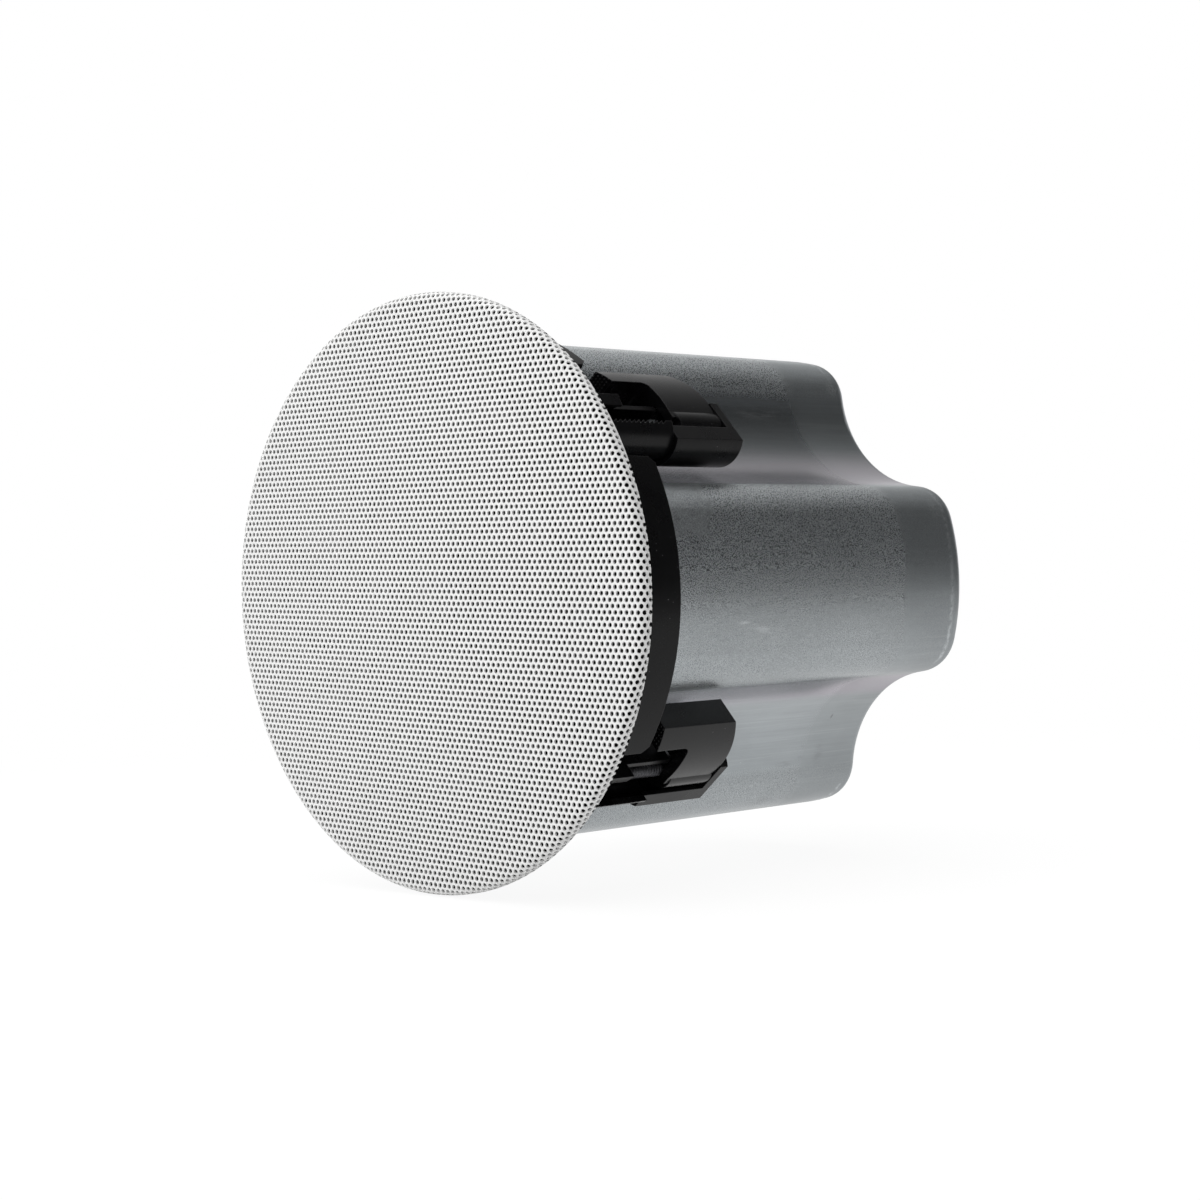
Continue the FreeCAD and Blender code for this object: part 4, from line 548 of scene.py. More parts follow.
@dataclass(frozen=True)
class SoftSheet:
    """Rubber, foam, pressed cone sheet or fibre: a matte skin with a relief of its own scale."""

    name: str
    shade: Colour
    second: Colour
    roughness: float
    scale: float
    depth: float
    sheen: float = 0.0

    def material(self) -> bpy.types.Material:
        """Builds the finish.

        Returns:
            The material.
        """
        graph = Graph(self.name)
        graph.base(self.shade, self.roughness, 0.0, Sheen_Weight=self.sheen)
        grain = graph.noise(self.scale, 4.0, 0.62)
        graph.colour(graph.mix(graph.band(grain, 0.35, 0.7), self.shade, self.second))
        graph.relief(grain, self.depth)
        return graph.material


@dataclass(frozen=True)
class WovenCloth:
    """Cloth dipped in resin: two crossing sets of threads, with painted shade in the gaps between them."""

    name: str
    shade: Colour
    painted_gap_shade: Colour
    pitch: float = 0.0006
    roughness: float = 0.75

    def material(self) -> bpy.types.Material:
        """Builds the finish.

        Returns:
            The material.
        """
        graph = Graph(self.name)
        graph.base(self.shade, self.roughness, 0.0, Sheen_Weight=0.2)
        turns = 2 * math.pi / self.pitch
        first = graph.maths("SINE", graph.maths("MULTIPLY", graph.axis("X"), turns))
        second = graph.maths("SINE", graph.maths("MULTIPLY", graph.axis("Z"), turns))
        weave = graph.band(graph.maths("MAXIMUM", first, second), -0.2, 0.9)
        # painted shade: the gaps between the threads, the low places of the relief, are darkened
        graph.colour(graph.mix(weave, self.painted_gap_shade, self.shade))
        graph.relief(weave, self.pitch * 0.15)
        return graph.material


@dataclass(frozen=True)
class WoundWire:
    """Wire or tape wound round a core: fine turns along one axis, with painted shade in the grooves between them."""

    name: str
    shade: Colour
    painted_groove_shade: Colour
    along: str = "Y"
    pitch: float = 0.0007
    roughness: float = 0.35
    metallic: float = 1.0

    def material(self) -> bpy.types.Material:
        """Builds the finish.

        Returns:
            The material.
        """
        graph = Graph(self.name)
        graph.base(self.shade, self.roughness, self.metallic)
        turns = graph.maths("SINE", graph.maths("MULTIPLY", graph.axis(self.along), 2 * math.pi / self.pitch))
        # painted shade: the grooves between the turns, the low places of the relief, are darkened
        graph.colour(graph.mix(graph.band(turns, -1.0, -0.1), self.painted_groove_shade, self.shade))
        graph.relief(graph.band(turns, -1.0, 1.0), self.pitch * 0.3)
        return graph.material


@dataclass(frozen=True)
class CircuitBoard:
    """A lacquered board: copper tracks show paler through the green mask."""

    name: str = "crossover_board_mask"
    shade: Colour = (0.035, 0.13, 0.06)
    track: Colour = (0.06, 0.21, 0.10)

    def material(self) -> bpy.types.Material:
        """Builds the finish.

        Returns:
            The material.
        """
        graph = Graph(self.name)
        graph.base(self.shade, 0.32)
        lines = graph.cells(170.0, feature="DISTANCE_TO_EDGE")
        graph.colour(graph.mix(graph.band(lines, 0.10, 0.13), self.track, self.shade))
        graph.relief(graph.band(lines, 0.10, 0.13, 1.0, 0.0), 0.00003)
        return graph.material


@dataclass
class Finishes:
    """Every finish of the loudspeaker, built once and handed to the pieces."""

    made: dict[str, bpy.types.Material] = field(default_factory=dict)

    BLACK: Colour = (0.0030, 0.0030, 0.0033)

    def build(self) -> None:
        """Builds all the finishes."""
        black, grey = self.BLACK, (0.11, 0.112, 0.118)
        speck = (0.20, 0.20, 0.21)
        kinds = [
            PowderCoat(),
            DrawnSteel(),
            MouldedPlastic("frame_black_plastic", black, (0.035, 0.035, 0.037), speck, (0.25, 0.33), specular=0.13),
            MouldedPlastic("ear_black_plastic", (0.0028, 0.0028, 0.0031), (0.05, 0.05, 0.053), speck, (0.20, 0.28),
                           specular=0.26),
            MouldedPlastic("switch_dark_plastic", (0.03, 0.03, 0.033), grey, speck),
            MouldedPlastic("post_white_nylon", (0.74, 0.74, 0.71), (0.8, 0.8, 0.78), (0.5, 0.5, 0.48), (0.4, 0.5)),
            MouldedPlastic("terminal_green_plastic", (0.04, 0.16, 0.09), (0.10, 0.28, 0.18), speck, (0.35, 0.45)),
            MouldedPlastic("capacitor_blue_film", (0.03, 0.045, 0.16), (0.08, 0.11, 0.28), speck, (0.18, 0.28)),
            MouldedPlastic("resistor_cement", (0.70, 0.68, 0.62), (0.78, 0.76, 0.70), (0.45, 0.44, 0.40), (0.7, 0.8)),
            PlainMetal("bracket_zinc_plate", (0.50, 0.51, 0.50), (0.66, 0.66, 0.65)),
            # the magnets' nickel is coloured near black
            PlainMetal("magnet_nickel_near_black", (0.055, 0.054, 0.052), (0.16, 0.157, 0.15), (0.36, 0.46)),
            PlainMetal("screw_black_oxide", (0.045, 0.045, 0.05), (0.14, 0.14, 0.15), (0.34, 0.46), 0.6),
            PlainMetal("basket_black_coat", (0.022, 0.022, 0.024), (0.10, 0.10, 0.11), (0.38, 0.5), 0.0),
            PlainMetal("ring_ferrite", (0.05, 0.05, 0.055), (0.09, 0.09, 0.095), (0.5, 0.65), 0.0, depth=0.00003),
            PlainMetal("core_laminations", (0.22, 0.23, 0.25), (0.34, 0.35, 0.37), (0.38, 0.5),
                       brush=(0.02, 0.02, 1.0), brush_scale=1800.0, depth=0.00004),
            SoftSheet("gasket_foam_cells", (0.018, 0.018, 0.019), (0.045, 0.045, 0.047), 0.9, 1500.0, 0.00012),
            SoftSheet("surround_butyl", (0.013, 0.013, 0.014), (0.022, 0.022, 0.023), 0.55, 900.0, 0.00001),
            SoftSheet("cone_pressed_sheet", (0.024, 0.024, 0.026), (0.05, 0.05, 0.053), 0.42, 700.0, 0.00004),
            SoftSheet("wadding_fibres", (0.62, 0.61, 0.58), (0.80, 0.79, 0.76), 0.95, 420.0, 0.0007, 0.4),
            WovenCloth("spider_dipped_cotton", (0.50, 0.34, 0.10), (0.22, 0.14, 0.04)),
            WovenCloth("dome_coated_silk", (0.03, 0.03, 0.035), (0.012, 0.012, 0.014), 0.0004, 0.5),
            WoundWire("coil_enamelled_copper", (0.55, 0.22, 0.09), (0.16, 0.05, 0.02)),
            WoundWire("bobbin_yellow_tape", (0.62, 0.44, 0.08), (0.45, 0.30, 0.05), pitch=0.009, metallic=0.0),
            CircuitBoard(),
        ]
        for kind in kinds:
            self.made[kind.name] = kind.material()

    def dress(self, nodes: Sequence[str], finish: str) -> None:
        """Gives CAD nodes a finish.

        Args:
            nodes: the nodes' names.
            finish: the finish's name.
        """
        for name in nodes:
            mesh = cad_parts[name].data
            mesh.materials.clear()
            mesh.materials.append(self.made[finish])
            LOG.info("dressed %s in %s", name, finish)


def add_piece(name: str, vertices: np.ndarray, faces: Sequence[Sequence[int]], material: bpy.types.Material,
              body: str, shading: Shading = Shading.CREASED) -> bpy.types.Object:
    """Makes a piece from its points and faces, and mounts it on a body.

    Args:
        name: the piece's name.
        vertices: its points, in metres.
        faces: its faces, as lists of point numbers.
        material: its finish.
        body: the body that it rides on.
        shading: how its faces are shaded.

    Returns:
        The new object.
    """
    mesh = bpy.data.meshes.new(name)
    mesh.from_pydata([tuple(v) for v in vertices], [], [tuple(int(i) for i in f) for f in faces])
    mesh.validate()
    mesh.polygons.foreach_set("use_smooth", [shading is not Shading.FLAT] * len(mesh.polygons))
    if shading is Shading.CREASED:
        mesh.set_sharp_from_angle(angle=math.radians(shading.value))
    mesh.update()
    mesh.materials.append(material)
    piece = bpy.data.objects.new(name, mesh)
    bpy.context.scene.collection.objects.link(piece)
    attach(piece, body)
    LOG.info("built %s with %d faces, on %s", name, len(mesh.polygons), body)
    return piece


@dataclass
class PerforatedGrille:
    """The dished grille, as one perforated sheet with all its holes and a rolled, perforated rim."""

    finishes: Finishes
    radius: float = 124.47 * MM
    sheet: float = 0.8 * MM
    dome: float = 3.29 * MM
    bend: float = 3.6 * MM
    lip: float = 1.5 * MM
    rim_y: float = -6.0 * MM
    pitch: float = 2.8 * MM
    hole: float = 0.96 * MM
    turn: float = math.radians(-1.473)
    shift: tuple[float, float] = (-8.443, 0.344)
    field_limit: float = 116.0 * MM
    field_sides: int = 10
    rim_sides: int = 12
    field_parts: int = 3

    def _profile(self, length: np.ndarray) -> tuple[np.ndarray, np.ndarray, np.ndarray]:
        """Follows the sheet's section outwards from the middle.

        Args:
            length: the way along the section.

        Returns:
            The distance from the axis, the place along it and the section's slope in radians.
        """
        edge = self.radius - self.bend
        flat = edge + 2.0 / 3.0 * self.dome ** 2 / edge
        arc_end = flat + self.bend * math.pi / 2
        on_dome = np.minimum(length, flat) * edge / flat
        angle = np.clip((length - flat) / self.bend, 0.0, math.pi / 2)
        straight = np.clip(length - arc_end, 0.0, self.lip)
        radius = on_dome + self.bend * np.sin(angle)
        along = self.rim_y - self.dome * (1 - (on_dome / edge) ** 2) + self.bend * (1 - np.cos(angle)) + straight
        slope = np.arctan(2 * self.dome * on_dome / edge ** 2)
        slope = np.where(angle > 0, np.maximum(angle, slope), slope)
        return radius, along, slope

    def _length(self) -> float:
        """Returns the whole way along the section, from the middle to the lip's end."""
        edge = self.radius - self.bend
        return edge + 2.0 / 3.0 * self.dome ** 2 / edge + self.bend * math.pi / 2 + self.lip

    def _raised(self, flat: np.ndarray, inset: float) -> np.ndarray:
        """Lays points of the flat sheet on its dished form.

        Args:
            flat: points of the flat sheet, any shape that ends in 2.
            inset: how far inside the outer skin they lie.

        Returns:
            The points in space, the same shape but ending in 3.
        """
        length = np.minimum(np.hypot(flat[..., 0], flat[..., 1]), self._length())
        angle = np.arctan2(flat[..., 1], flat[..., 0])
        radius, along, slope = self._profile(length)
        radius = radius - inset * np.sin(slope)
        along = along + inset * np.cos(slope)
        return np.stack([radius * np.cos(angle), along, radius * np.sin(angle)], -1)

    def _centres(self) -> np.ndarray:
        """Returns the centres of all cells that touch the flat sheet."""
        reach = int(self._length() / self.pitch) + 12
        rows, columns = np.mgrid[-reach:reach + 1, -reach:reach + 1]
        row_pitch = self.pitch * math.sqrt(0.75)
        x = (columns + 0.5 * (rows % 2) - self.shift[0]) * self.pitch
        z = rows * row_pitch - self.shift[1] * self.pitch
        x, z = x.ravel(), z.ravel()
        c, s = math.cos(self.turn), math.sin(self.turn)
        centres = np.stack([c * x - s * z, s * x + c * z], 1)
        inside = np.hypot(centres[:, 0], centres[:, 1]) < self._length() + self.pitch * 0.6
        return centres[inside]

    def _ring(self, count: int, radius: float, corners: bool) -> np.ndarray:
        """Gives one ring of a cell.

        Args:
            count: how many points it has.
            radius: its radius, or the cell's half width where it follows the hexagon.
            corners: whether it follows the hexagon's outline.

        Returns:
            The points about the cell's centre.
        """
        angle = self.turn + math.pi / 6 + 2 * math.pi * np.arange(count) / count
        if not corners:
            return radius * np.stack([np.cos(angle), np.sin(angle)], 1)
        corner = radius / math.cos(math.pi / 6)
        reach = np.where(np.arange(count) % (count // 6) == 0, corner, radius)
        return reach[:, None] * np.stack([np.cos(angle), np.sin(angle)], 1)

    @staticmethod
    def _strip(outer: Sequence[int], inner: Sequence[int]) -> list[tuple[int, int, int]]:
        """Fills the space between two rings with triangles.

        Args:
            outer: the outer ring's point numbers.
            inner: the inner ring's point numbers.

        Returns:
            The triangles.
        """
        m, n = len(outer), len(inner)
        i = j = 0
        faces = []
        while i < m or j < n:
            if j >= n or (i < m and (i + 1) / m <= (j + 1) / n):
                faces.append((outer[i % m], outer[(i + 1) % m], inner[j % n]))
                i += 1
            else:
                faces.append((outer[i % m], inner[(j + 1) % n], inner[j % n]))
                j += 1
        return faces

    def _sheet(self, centres: np.ndarray, rings: Sequence[np.ndarray]) -> tuple[np.ndarray, np.ndarray, np.ndarray]:
        """Makes the two skins and the holes' walls of many cells.

        Args:
            centres: the cells' centres.
            rings: each cell's rings, from the outline to the hole.

        Returns:
            The points, the triangles and the four-sided wall faces.
        """
        cell = np.concatenate(rings)
        count = len(cell)
        starts = np.cumsum([0] + [len(r) for r in rings])
        numbers = [list(range(a, b)) for a, b in zip(starts[:-1], starts[1:])]
        skin = np.array([t for a, b in zip(numbers, numbers[1:]) for t in self._strip(a, b)])
        hole = numbers[-1]
        after = hole[1:] + hole[:1]
        wall = np.array([(a, b, b + count, a + count) for a, b in zip(hole, after)])
        flat = centres[:, None, :] + cell[None, :, :]
        cut = np.hypot(flat[..., 0], flat[..., 1]) >= self._length()
        points = np.concatenate([self._raised(flat, 0.0), self._raised(flat, self.sheet)], 1)
        step = (np.arange(len(centres)) * 2 * count)[:, None, None]
        front = (skin[None] + step).reshape(-1, 3)
        back = (skin[None, :, ::-1] + count + step).reshape(-1, 3)
        walls = (wall[None] + step)[~(cut[:, hole] & cut[:, after])]
        return points.reshape(-1, 3), np.concatenate([front, back]), walls

    def _edge_wall(self, points: np.ndarray, faces: np.ndarray) -> np.ndarray:
        """Closes the sheet's cut edge between its two skins.

        Args:
            points: the merged points.
            faces: the triangles of both skins.

        Returns:
            The wall's triangles.
        """
        pairs = np.concatenate([faces[:, [0, 1]], faces[:, [1, 2]], faces[:, [2, 0]]])
        key = np.sort(pairs, axis=1)
        _, first, uses = np.unique(key, axis=0, return_index=True, return_counts=True)
        rim = pairs[first[uses == 1]]
        end_y = self.rim_y + self.bend + self.lip
        at_end = np.abs(points[rim][:, :, 1] - end_y).max(1) < 1e-6
        rim = rim[at_end]
        outer = np.hypot(points[rim][..., 0], points[rim][..., 2]) > self.radius - self.sheet / 2
        front, back = rim[outer.all(1)], rim[~outer.any(1)]
        angle = np.arctan2(points[:, 2], points[:, 0])
        partner = {round(float(angle[i]), 6): int(i) for i in back.ravel()}
        walls = []
        for a, b in front:
            c, d = partner.get(round(float(angle[b]), 6)), partner.get(round(float(angle[a]), 6))
            if c is not None and d is not None:
                walls.append((a, c, b))
                walls.append((a, d, c))
        return np.array(walls, int).reshape(-1, 3)

    @staticmethod
    def _merged(points: np.ndarray, faces: np.ndarray) -> tuple[np.ndarray, np.ndarray]:
        """Joins points that lie in one place and drops faces without area.

        Args:
            points: the points.
            faces: the triangles.

        Returns:
            The points and the triangles that are left.
        """
        _, first, inverse = np.unique(np.round(points * 1e7).astype(np.int64), axis=0, return_index=True,
                                      return_inverse=True)
        points, faces = points[first], inverse.ravel()[faces]
        a, b, c = (points[faces[:, k]] for k in range(3))
        area = np.linalg.norm(np.cross(b - a, c - a), axis=1) / 2
        distinct = (faces[:, 0] != faces[:, 1]) & (faces[:, 1] != faces[:, 2]) & (faces[:, 2] != faces[:, 0])
        return points, faces[distinct & (area > 1e-11)]

    def build(self) -> None:
        """Builds the field in a few pieces, and the rim in one."""
        paint = self.finishes.made["grille_powder_coat"]
        centres = self._centres()
        distance = np.hypot(centres[:, 0], centres[:, 1])
        inner = centres[distance < self.field_limit]
        outer = centres[distance >= self.field_limit]
        half = self.pitch / 2
        rings = [self._ring(6, half, True), self._ring(self.field_sides, self.hole, False)]
        order = np.argsort(inner[:, 1])
        for k, part in enumerate(np.array_split(inner[order], self.field_parts), start=1):
            points, skins, walls = self._sheet(part, rings)
            split = np.concatenate([walls[:, [0, 1, 2]], walls[:, [0, 2, 3]]])
            points, faces = self._merged(points, np.concatenate([skins, split]))
            piece = add_piece("grille_sheet_%d" % k, points, faces, paint, "root")
            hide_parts("grille")
        middle = (self.hole + half) / 2
        rings = [self._ring(self.rim_sides, half, True), self._ring(self.rim_sides, middle, False),
                 self._ring(self.rim_sides, self.hole, False)]
        points, skins, walls = self._sheet(outer, rings)
        split = np.concatenate([walls[:, [0, 1, 2]], walls[:, [0, 2, 3]]])
        points, faces = self._merged(points, np.concatenate([skins, split]))
        faces = np.concatenate([faces, self._edge_wall(points, faces)])
        piece = add_piece("grille_rim", points, faces, paint, "root")
        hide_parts("grille")
        LOG.info("the grille has %d holes", len(centres))


@dataclass
class ClampedFrame:
    """The moulded frame with its caps, ears and screws: finishes, screw threads and the ears' gripping pads."""

    finishes: Finishes
    clamp_radius: float = 99.5 * MM
    first_angle: float = math.radians(40.65)
    thread_radius: float = 2.5 * MM
    thread_height: float = 0.28 * MM
    thread_pitch: float = 1.6 * MM
    thread_start: float = 16.2 * MM
    thread_end: float = 89.0 * MM
    steps_a_turn: int = 24
    pad_y: float = 42.0 * MM
    pad_width: tuple[float, float] = (-9.6 * MM, 5.4 * MM)
    pad_side: tuple[float, float] = (22.4 * MM, 30.2 * MM)
    stud_pitch: float = 1.7 * MM
    stud_radius: float = 0.5 * MM
    stud_height: float = 0.4 * MM

    def _turned(self, points: np.ndarray, index: int) -> np.ndarray:
        """Turns points from angle zero to a clamp's own place.

        Args:
            points: the points, beside the axis at angle zero.
            index: the clamp's number, from 1.

        Returns:
            The turned points.
        """
        angle = self.first_angle + math.pi / 2 * (index - 1)
        c, s = math.cos(angle), math.sin(angle)
        x, y, z = points.T
        return np.stack([c * x - s * z, y, s * x + c * z], 1)

    def _thread(self) -> tuple[np.ndarray, list[tuple[int, int, int, int]]]:
        """Builds the ridge of one screw thread.

        Returns:
            Its points and faces.
        """
        turns = (self.thread_end - self.thread_start) / self.thread_pitch
        count = int(turns * self.steps_a_turn)
        angle = 2 * math.pi * np.arange(count + 1) / self.steps_a_turn
        along = self.thread_start + self.thread_pitch * angle / (2 * math.pi)
        taper = np.minimum(1.0, np.minimum(np.arange(count + 1), np.arange(count + 1)[::-1]) / self.steps_a_turn)
        root = self.thread_radius - 0.1 * MM
        crest = root + (self.thread_height + 0.1 * MM) * taper
        foot = self.thread_pitch * 0.36
        lines = [(root, -foot), (crest, -foot * 0.25), (crest, foot * 0.25), (root, foot)]
        points = np.concatenate([np.stack([self.clamp_radius + r * np.cos(angle), along + dy, r * np.sin(angle)], 1)
                                 for r, dy in lines])
        step = count + 1
        faces = [(k * step + i, k * step + i + 1, (k + 1) % 4 * step + i + 1, (k + 1) % 4 * step + i)
                 for k in range(4) for i in range(count)]
        ends = [tuple(k * step for k in range(4)), tuple(k * step + count for k in (3, 2, 1, 0))]
        return points, faces + ends

    def _pad(self) -> tuple[np.ndarray, list[tuple[int, ...]]]:
        """Builds the grid of blunt studs on one ear's pad.

        Returns:
            Its points and faces.
        """
        sides = 8
        angle = 2 * math.pi * np.arange(sides) / sides
        across = np.arange(self.pad_width[0] + self.stud_pitch / 2, self.pad_width[1], self.stud_pitch)
        upward = np.arange(self.pad_side[0] + self.stud_pitch / 2, self.pad_side[1], self.stud_pitch)
        points, faces = [], []
        for u in across:
            for w in upward:
                if u > self.pad_width[1] - (w - self.pad_side[0]) * 0.45:
                    continue
                start = len(points)
                for radius, y in ((self.stud_radius, self.pad_y + 0.1 * MM),
                                  (self.stud_radius * 0.6, self.pad_y - self.stud_height)):
                    points += [(self.clamp_radius + u + radius * c, y, w + radius * s)
                               for c, s in zip(np.cos(angle), np.sin(angle))]
                ring = range(sides)
                faces += [(start + k, start + (k + 1) % sides, start + sides + (k + 1) % sides, start + sides + k)
                          for k in ring]
                faces.append(tuple(start + sides + k for k in ring))
                faces.append(tuple(start + k for k in reversed(ring)))
        return np.array(points), faces

    def build(self) -> None:
        """Dresses the frame and its clamps, and adds threads and pads."""
        self.finishes.dress(["mounting_frame"] + ["tower_cap_%d" % k for k in range(1, 5)], "frame_black_plastic")
        self.finishes.dress(["ear_%d" % k for k in range(1, 5)], "ear_black_plastic")
        self.finishes.dress(["clamp_screw_%d" % k for k in range(1, 5)], "screw_black_oxide")
        self.finishes.dress(["grille_magnets"], "magnet_nickel_near_black")
        steel = self.finishes.made["screw_black_oxide"]
        plastic = self.finishes.made["ear_black_plastic"]
        thread, thread_faces = self._thread()
        pad, pad_faces = self._pad()
        for k in range(1, 5):
            add_piece("screw_thread_%d" % k, self._turned(thread, k), thread_faces, steel, "screw_%d" % k)
            add_piece("ear_pad_%d" % k, self._turned(pad, k), pad_faces, plastic, "ear_%d" % k)


@dataclass
class SteelCan:
    """The drawn back can with its gasket, its screws and the safety loop."""

    finishes: Finishes

    def build(self) -> None:
        """Dresses the can's nodes."""
        self.finishes.dress(["back_can", "safety_loop", "terminal_cover"], "can_zinc_steel")
        self.finishes.dress(["can_gasket"], "gasket_foam_cells")
        self.finishes.dress(["can_screws"], "screw_black_oxide")
        self.finishes.dress(["loop_rivet", "cover_screws"], "bracket_zinc_plate")


@dataclass
class Drivers:
    """The woofer and the tweeter on its bridge."""

    finishes: Finishes

    def build(self) -> None:
        """Dresses the drivers' nodes."""
        dress = self.finishes.dress
        dress(["woofer_basket"], "basket_black_coat")
        dress(["woofer_screws"], "screw_black_oxide")
        dress(["woofer_surround"], "surround_butyl")
        dress(["woofer_cone", "dust_cap"], "cone_pressed_sheet")
        dress(["voice_coil"], "coil_enamelled_copper")
        dress(["woofer_spider"], "spider_dipped_cotton")
        dress(["top_plate", "yoke", "tweeter_motor"], "bracket_zinc_plate")
        dress(["woofer_magnet"], "ring_ferrite")
        dress(["tweeter_bridge", "tweeter_cup", "tweeter_plate"], "frame_black_plastic")
        dress(["tweeter_dome"], "dome_coated_silk")


@dataclass
class InnerParts:
    """What the can holds: tap selector, line transformer, crossover and wadding."""

    finishes: Finishes

    def build(self) -> None:
        """Dresses the inner nodes."""
        dress = self.finishes.dress
        dress(["selector_switch"], "switch_dark_plastic")
        dress(["selector_nut", "transformer_bracket", "bracket_screws"], "bracket_zinc_plate")
        dress(["selector_knob"], "frame_black_plastic")
        dress(["transformer_core"], "core_laminations")
        dress(["transformer_bobbin"], "bobbin_yellow_tape")
        dress(["crossover_board"], "crossover_board_mask")
        dress(["board_posts"], "post_white_nylon")
        dress(["capacitors"], "capacitor_blue_film")
        dress(["inductor"], "coil_enamelled_copper")
        dress(["resistor"], "resistor_cement")
        dress(["damping_wadding"], "wadding_fibres")


@dataclass
class RearTerminals:
    """The terminal block under its cover, and the cable gland."""

    finishes: Finishes

    def build(self) -> None:
        """Dresses the terminals' nodes."""
        dress = self.finishes.dress
        dress(["terminal_block"], "terminal_green_plastic")
        dress(["terminal_screws"], "bracket_zinc_plate")
        dress(["cable_gland", "gland_nut"], "frame_black_plastic")


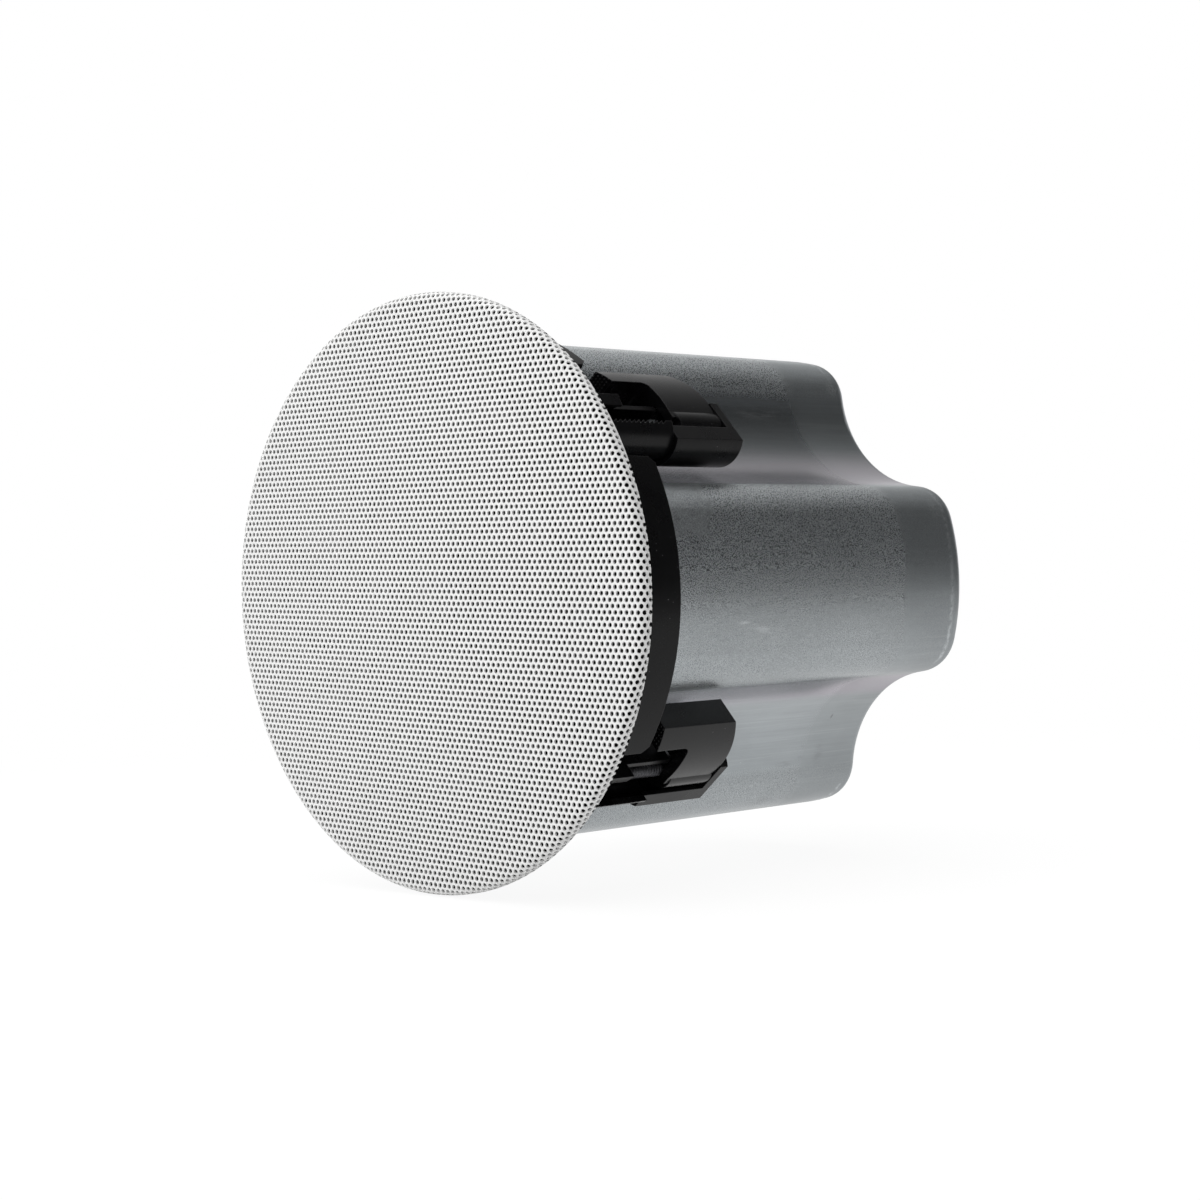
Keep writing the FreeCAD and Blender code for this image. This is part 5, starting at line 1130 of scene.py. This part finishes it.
@dataclass
class Studio:
    """A pale floor, soft light and the camera that stands where the photographer stood."""

    floor_z: float = -0.1252
    floor_size: float = 60.0
    floor_near: float = 0.35
    floor_far: float = 0.95
    sky_left: float = 0.92
    azimuth: float = math.radians(44.1394)
    elevation: float = math.radians(0.4923)
    roll: float = math.radians(-1.7204)
    distance: float = 0.983066
    aim: tuple[float, float] = (-0.073165, 0.0022356)
    row_shift: float = 6.0 * MM
    lens: float = 71.418

    def _rays(self, tree: bpy.types.NodeTree) -> bpy.types.NodeSocket:
        """Finds the rays that see the background.

        Args:
            tree: the node tree that asks.

        Returns:
            1 for rays from the camera, from gloss and through glass, and 0 for the rest.
        """
        path = tree.nodes.new("ShaderNodeLightPath")
        total = path.outputs["Is Camera Ray"]
        for name in ("Is Glossy Ray", "Is Transmission Ray"):
            node = tree.nodes.new("ShaderNodeMath")
            node.operation = "ADD"
            node.use_clamp = True
            tree.links.new(total, node.inputs[0])
            tree.links.new(path.outputs[name], node.inputs[1])
            total = node.outputs[0]
        return total

    def floor(self) -> None:
        """Lays the floor, which shows nearly white and keeps the object's shadow."""
        half = self.floor_size / 2
        mesh = bpy.data.meshes.new("studio_floor")
        mesh.from_pydata([(x, y, self.floor_z) for x, y in ((-half, -half), (half, -half), (half, half), (-half, half))],
                         [], [(0, 1, 2, 3)])
        material = bpy.data.materials.new("studio_floor_white")
        material.use_nodes = True
        tree = material.node_tree
        tree.nodes.clear()
        paint = tree.nodes.new("ShaderNodeBsdfDiffuse")
        paint.inputs["Color"].default_value = (0.86, 0.86, 0.86, 1.0)
        faint = tree.nodes.new("ShaderNodeBsdfDiffuse")
        faint.inputs["Color"].default_value = (0.08, 0.08, 0.08, 1.0)
        glow = tree.nodes.new("ShaderNodeEmission")
        glow.inputs["Color"].default_value = (0.93, 0.93, 0.93, 1.0)
        white = tree.nodes.new("ShaderNodeEmission")
        place = tree.nodes.new("ShaderNodeTexCoord")
        length = tree.nodes.new("ShaderNodeVectorMath")
        length.operation = "LENGTH"
        far = tree.nodes.new("ShaderNodeMapRange")
        far.interpolation_type = "SMOOTHSTEP"
        far.inputs["From Min"].default_value = self.floor_near
        far.inputs["From Max"].default_value = self.floor_far
        added = tree.nodes.new("ShaderNodeAddShader")
        shown = tree.nodes.new("ShaderNodeMixShader")
        mixed = tree.nodes.new("ShaderNodeMixShader")
        output = tree.nodes.new("ShaderNodeOutputMaterial")
        tree.links.new(faint.outputs[0], added.inputs[0])
        tree.links.new(glow.outputs[0], added.inputs[1])
        tree.links.new(self._rays(tree), mixed.inputs[0])
        tree.links.new(paint.outputs[0], mixed.inputs[1])
        tree.links.new(place.outputs["Object"], length.inputs[0])
        tree.links.new(length.outputs["Value"], far.inputs["Value"])
        tree.links.new(far.outputs["Result"], shown.inputs[0])
        tree.links.new(added.outputs[0], shown.inputs[1])
        tree.links.new(white.outputs[0], shown.inputs[2])
        tree.links.new(shown.outputs[0], mixed.inputs[2])
        tree.links.new(mixed.outputs[0], output.inputs["Surface"])
        mesh.materials.append(material)
        floor = bpy.data.objects.new("studio_floor", mesh)
        bpy.context.scene.collection.objects.link(floor)

    def dark_card(self) -> None:
        """Stands a dark card on the floor, behind and to the right, that the can's upper half mirrors."""
        foot = Vector((0.82, 0.86, self.floor_z))
        right = Vector((-1.0, 1.0, 0.0)).normalized() * 0.80
        up = Vector((0.0, 0.0, 0.62))
        mesh = bpy.data.meshes.new("studio_dark_card")
        mesh.from_pydata([foot - right, foot + right, foot + right + up, foot - right + up], [], [(0, 1, 2, 3)])
        material = bpy.data.materials.new("studio_card_grey")
        material.use_nodes = True
        shader = material.node_tree.nodes["Principled BSDF"]
        shader.inputs["Base Color"].default_value = (0.085, 0.085, 0.087, 1.0)
        shader.inputs["Roughness"].default_value = 1.0
        mesh.materials.append(material)
        card = bpy.data.objects.new("studio_dark_card", mesh)
        card.visible_camera = False
        bpy.context.scene.collection.objects.link(card)

    def world(self) -> None:
        """Sets a surrounding that is white up to just above the horizon, and dims to the right higher up."""
        world = bpy.data.worlds.new("studio_surrounding")
        bpy.context.scene.world = world
        world.use_nodes = True
        tree = world.node_tree
        background = tree.nodes["Background"]
        place = tree.nodes.new("ShaderNodeTexCoord")
        split = tree.nodes.new("ShaderNodeSeparateXYZ")
        across = tree.nodes.new("ShaderNodeMapRange")
        across.inputs["From Min"].default_value = -1.0
        across.inputs["From Max"].default_value = 1.0
        across.inputs["To Min"].default_value = 1.0
        across.inputs["To Max"].default_value = 0.0
        squared = tree.nodes.new("ShaderNodeMath")
        squared.operation = "POWER"
        squared.inputs[1].default_value = 2.0
        sideways = tree.nodes.new("ShaderNodeMath")
        sideways.operation = "MULTIPLY"
        sideways.inputs[1].default_value = self.sky_left
        upward = tree.nodes.new("ShaderNodeMapRange")
        upward.interpolation_type = "SMOOTHSTEP"
        upward.inputs["From Min"].default_value = 0.27
        upward.inputs["From Max"].default_value = 0.38
        upward.inputs["To Min"].default_value = 1.0
        tree.links.new(place.outputs["Generated"], split.inputs[0])
        tree.links.new(split.outputs["X"], across.inputs["Value"])
        tree.links.new(across.outputs["Result"], squared.inputs[0])
        tree.links.new(squared.outputs[0], sideways.inputs[0])
        tree.links.new(split.outputs["Z"], upward.inputs["Value"])
        tree.links.new(sideways.outputs[0], upward.inputs["To Max"])
        tree.links.new(upward.outputs["Result"], background.inputs["Color"])
        background.inputs["Strength"].default_value = 1.0

    def lamp(self, name: str, place: tuple[float, float, float], size: float, watts: float) -> None:
        """Hangs one soft lamp that points at the loudspeaker.

        Args:
            name: the lamp's name.
            place: where it hangs.
            size: the side of its square.
            watts: its power.
        """
        light = bpy.data.lights.new(name, "AREA")
        light.size = size
        light.energy = watts
        lamp = bpy.data.objects.new(name, light)
        lamp.location = place
        lamp.rotation_mode = "QUATERNION"
        lamp.rotation_quaternion = (Vector((0.0, 0.08, 0.0)) - Vector(place)).to_track_quat("-Z", "Y")
        bpy.context.scene.collection.objects.link(lamp)

    def camera(self) -> None:
        """Puts the camera where the photo's perspective says it was."""
        a, e = self.azimuth, self.elevation
        back = Vector((math.sin(a) * math.cos(e), -math.cos(a) * math.cos(e), math.sin(e)))
        right = Vector((math.cos(a), math.sin(a), 0.0))
        up = back.cross(right)
        c, s = math.cos(self.roll), math.sin(self.roll)
        right, up = c * right + s * up, -s * right + c * up
        place = -self.aim[0] * right - self.aim[1] * up + self.distance * back - Vector((0.0, self.row_shift, 0.0))
        data = bpy.data.cameras.new("photo_camera")
        data.lens = self.lens
        data.sensor_width = 36.0
        data.clip_start, data.clip_end = 0.05, 60.0
        camera = bpy.data.objects.new("photo_camera", data)
        camera.matrix_world = Matrix.Translation(place) @ Matrix((right, up, back)).transposed().to_4x4()
        bpy.context.scene.collection.objects.link(camera)
        bpy.context.scene.camera = camera

    def build(self) -> None:
        """Sets up the whole studio."""
        bpy.context.scene.view_settings.view_transform = "Standard"
        self.floor()
        self.dark_card()
        self.world()
        self.lamp("lamp_overhead", (0.0, -0.1, 2.2), 3.6, 68.0)
        self.lamp("lamp_front", (-0.9, -2.3, 1.1), 1.6, 26.0)
        self.camera()


def main() -> None:
    """Builds every sub-assembly in order, then the studio."""
    logging.basicConfig(level=logging.INFO, format="%(name)s: %(message)s")
    finishes = Finishes()
    finishes.build()
    parts: list[Callable[[Finishes], object]] = [PerforatedGrille, ClampedFrame, SteelCan, Drivers, InnerParts,
                                                 RearTerminals]
    for part in parts:
        part(finishes).build()
        LOG.info("finished %s", part.__name__)
    Studio().build()


if __name__ == "__main__":
    main()
